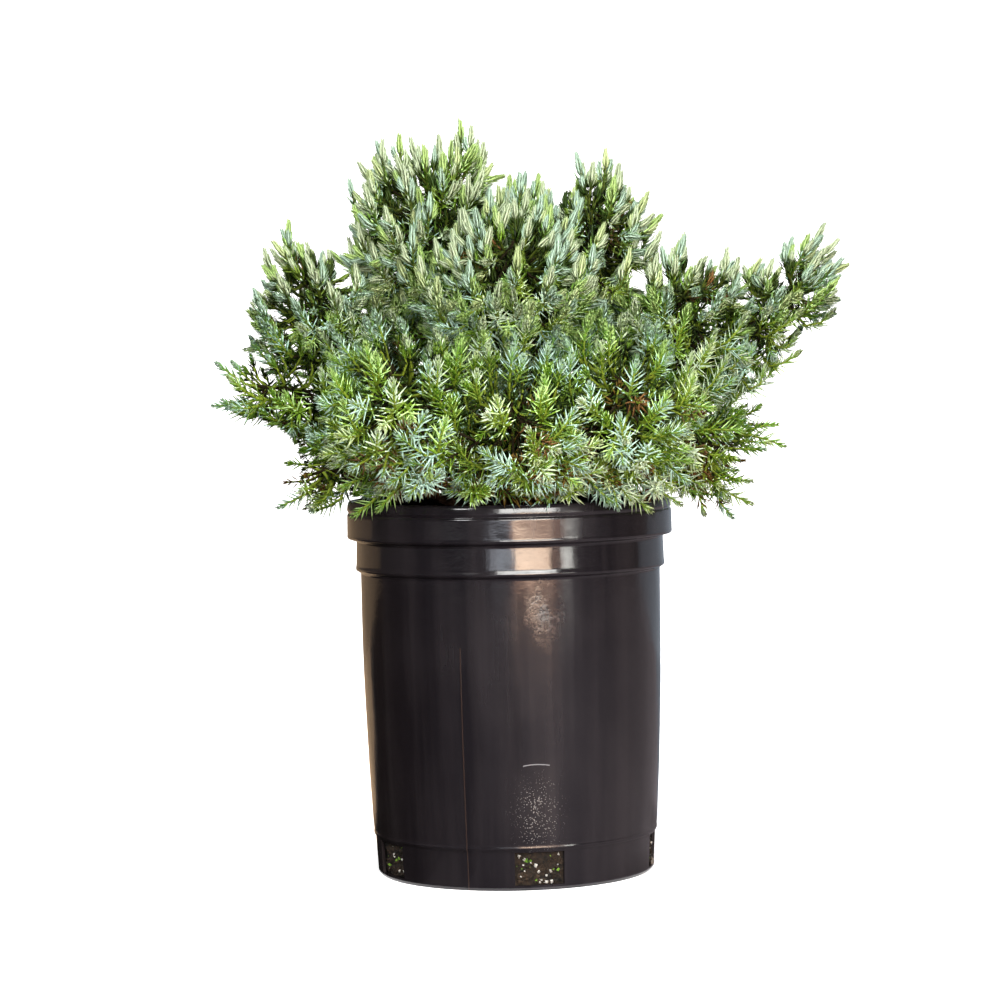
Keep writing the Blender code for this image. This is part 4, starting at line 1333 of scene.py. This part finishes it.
def needle_mesh(name, whorls, chance):
    """Three awls at each whorl, splayed at its foot and closed round the bud at its tip."""
    count = len(whorls["spin"])
    side, up = across(whorls["way"], facing(whorls["place"]))
    draw = np.random.default_rng(chance.randrange(10**6))
    cone = cone_length(whorls["closed"])
    from_tip, open_share = whorls["from_tip"], whorls["open"]
    spread = np.clip((from_tip - cone) / TIP_LENGTH, 0, 1), np.clip(from_tip / TIP_LENGTH, 0, 1) ** 0.85
    near = spread[0] + (spread[1] - spread[0]) * open_share
    growth = np.clip(from_tip / TIP_LENGTH, 0, 1), np.clip(from_tip / GROWN_LENGTH, 0, 1)
    short = growth[0] + (growth[1] - growth[0]) * open_share
    twist = facing(whorls["place"]) * (near * (0.3 + 0.35 * open_share))[:, None]
    twist /= np.linalg.norm(facing(whorls["place"]), axis=1, keepdims=True)
    detailed = (near > 0.15) & (whorls["zone"] < 4)
    base = (whorls["tint"] * len(ZONES) + whorls["zone"]) * 2
    vertices, triangles, slots, offset = [], [], [], 0
    for corner in range(3):
        angle = whorls["spin"] + corner * math.tau / 3 + draw.normal(0, 0.07, count)
        radial = side * np.cos(angle)[:, None] + up * np.sin(angle)[:, None]
        splay = mixed(BUD_SPLAY, open_share) + OUTWARD_SPLAY * (1 - open_share) * short
        splay = splay + mixed(OPENED_SPLAY, open_share) * near + draw.normal(0, 2.5, count)
        splay = np.radians(splay)[:, None]
        long = mixed(BUD_LENGTH, open_share) + mixed(GROWN_GAIN, open_share) * short
        long = long * (1 - 0.5 * open_share * np.clip(np.cos(angle), 0, 1) ** 4)
        long = (long * MM * draw.uniform(*SIZE_SPREAD, count))[:, None]
        bud_wide = mixed(BUD_WIDTH, open_share)
        wide = bud_wide + (mixed(GROWN_WIDTH, open_share) - bud_wide) * near
        wide = (wide * MM * draw.uniform(*SIZE_SPREAD, count))[:, None]
        incurve = ((0.30 - 0.24 * near) * (1 - 0.6 * open_share))[:, None]
        along = whorls["way"] * np.cos(splay) + radial * np.sin(splay)
        face, _ = across(along, whorls["way"] * np.sin(splay) - radial * np.cos(splay) + twist)
        flat = np.cross(along, face)
        foot = whorls["place"] + radial * STEM_RADIUS * 0.7
        point = foot + along * long + face * long * incurve
        middle = foot + along * long * 0.36 + face * wide * 0.18
        far = foot + along * long * 0.60 + face * long * 0.02
        left, right = flat * wide * 0.5, flat * wide * -0.5
        long_rows = [
            foot + left * 0.85,
            foot + right * 0.85,
            foot - face * wide * 0.55,
            far + left * 0.8,
            far + right * 0.8,
            point,
        ]
        short_rows = [foot, middle - left, middle + left, point]
        for rows, faces, backs, chosen in (
            (long_rows, LONG_FACES, LONG_BACKS, detailed),
            (short_rows, SHORT_FACES, SHORT_BACKS, ~detailed),
        ):
            grouped = np.stack(rows, axis=1)[chosen]
            starts = offset + np.arange(len(grouped)) * len(rows)
            vertices.append(grouped.reshape(-1, 3))
            triangles.append((starts[:, None, None] + faces).reshape(-1, 3))
            slot = base[chosen][:, None] + backs
            if backs is LONG_BACKS:
                zone, tint = whorls["zone"][chosen][:, None], whorls["tint"][chosen][:, None]
                slot = slot - 2 * PALER_TIP * np.isin(zone, (2, 3))
                slot = slot + 2 * GREEN_FOOT * ((zone == 2) & (tint > 1))
            slots.append(slot.ravel())
            offset += grouped.shape[0] * len(rows)
    mesh = fast_mesh(name, np.concatenate(vertices), np.concatenate(triangles), np.concatenate(slots))
    for material in NEEDLE_MATERIALS:
        mesh.materials.append(material)
    return mesh


triangle_total = 0
for name, group in zip(NAMES, SHOOTS):
    chance = random.Random(f"{SEED} {name} needles")
    mesh = needle_mesh(f"needles_{name}", whorls_of(group, chance), chance)
    needles = link_object(f"needles_{name}", mesh)
    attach(needles, "root")
    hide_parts(name)
    triangle_total += len(mesh.polygons)
print("needle triangles", triangle_total)

# %% [markdown]
# ## Twigs and green stems
# Under its needles a shoot has a thin stem, green where it is young and brown where it has turned to
# wood. Tubes are skinned over the same paths, so each needle has something to grow from.


# %% Tubes along paths
def tube_arrays(points, radii, sides):
    """Vertices and triangles of an open tube along points, pinched shut at its end."""
    tangents = unit(np.gradient(points, axis=0))
    side, up = across(tangents, orthogonal(tangents[0])[None])
    angles = np.arange(sides) * math.tau / sides
    ring = side[:, None] * np.cos(angles)[None, :, None] + up[:, None] * np.sin(angles)[None, :, None]
    vertices = (points[:, None] + ring * radii[:, None, None]).reshape(-1, 3)
    triangles = []
    for row in range(len(points) - 1):
        for corner in range(sides):
            after = (corner + 1) % sides
            low, high = row * sides, (row + 1) * sides
            triangles.append((low + corner, low + after, high + after))
            triangles.append((low + corner, high + after, high + corner))
    foot = tuple(range(sides))
    last = (len(points) - 1) * sides
    for corner in range(1, sides - 1):
        triangles.append((foot[0], foot[corner + 1], foot[corner]))
        triangles.append((last, last + corner, last + corner + 1))
    return vertices, np.array(triangles)


def join_tubes(name, tubes, material):
    vertices, triangles, offset = [], [], 0
    for points, faces in tubes:
        vertices.append(points)
        triangles.append(faces + offset)
        offset += len(points)
    triangles = np.concatenate(triangles)
    mesh = fast_mesh(name, np.concatenate(vertices), triangles, np.zeros(len(triangles)))
    mesh.materials.append(material)
    mesh.shade_smooth()
    return mesh


# %% Skin the shoots
WOOD_STARTS = 26 * MM
green_tubes, olive_tubes, wood_tubes = [], [], []
for group in SHOOTS:
    for shoot in group:
        young = min(WOOD_STARTS, shoot.length)
        marks = np.linspace(young, 0.8 * MM, 4)
        points, _ = shoot.at(marks)
        tube = tube_arrays(points, 0.45 * MM + 0.021 * marks, 3)
        (green_tubes if shoot.points[-1, 2] < LOW_TIPS else olive_tubes).append(tube)
        if shoot.length > WOOD_STARTS:
            marks = np.linspace(shoot.length, WOOD_STARTS, 4)
            points, _ = shoot.at(marks)
            wood_tubes.append(tube_arrays(points, 0.4 * MM + 0.010 * marks, 4))
for index in range(len(MASSES)):
    knots = stem_points(index)
    spine_end = CENTRES[index] + LEANS[index] * SPINE_SHARE * HALF_LENGTHS[index]
    inner = bend(knots[0], knots[1], knots[2], np.linspace(0, 1, 6))
    points = np.vstack([inner, bend(knots[2], knots[2], spine_end, np.linspace(0.35, 1, 4))])
    radii = np.linspace(BOUGH_TIP_RADIUS, 0.4 * BOUGH_TIP_RADIUS, len(points))
    wood_tubes.append(tube_arrays(points, radii, 8))
stem_green = plain_material("stem_green", (0.17, 0.23, 0.02), 0.6, 0.2)
stem_olive = plain_material("stem_olive", (0.09, 0.12, 0.015), 0.6, 0.2)
# The twigs' brown wood is darkened almost to black, as painted shade for the crown's depths.
shaded_twig_wood = plain_material("shaded_twig_wood", (0.015, 0.011, 0.004), 0.9, 0.1)
for name, tubes, material, slot in (
    ("green_stems", green_tubes, stem_green, "foliage"),
    ("olive_stems", olive_tubes, stem_olive, "foliage"),
    ("brown_twigs", wood_tubes, shaded_twig_wood, "bark"),
):
    piece = link_object(name, join_tubes(name, tubes, material))
    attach(piece, "root")
    print(name, len(piece.data.polygons))
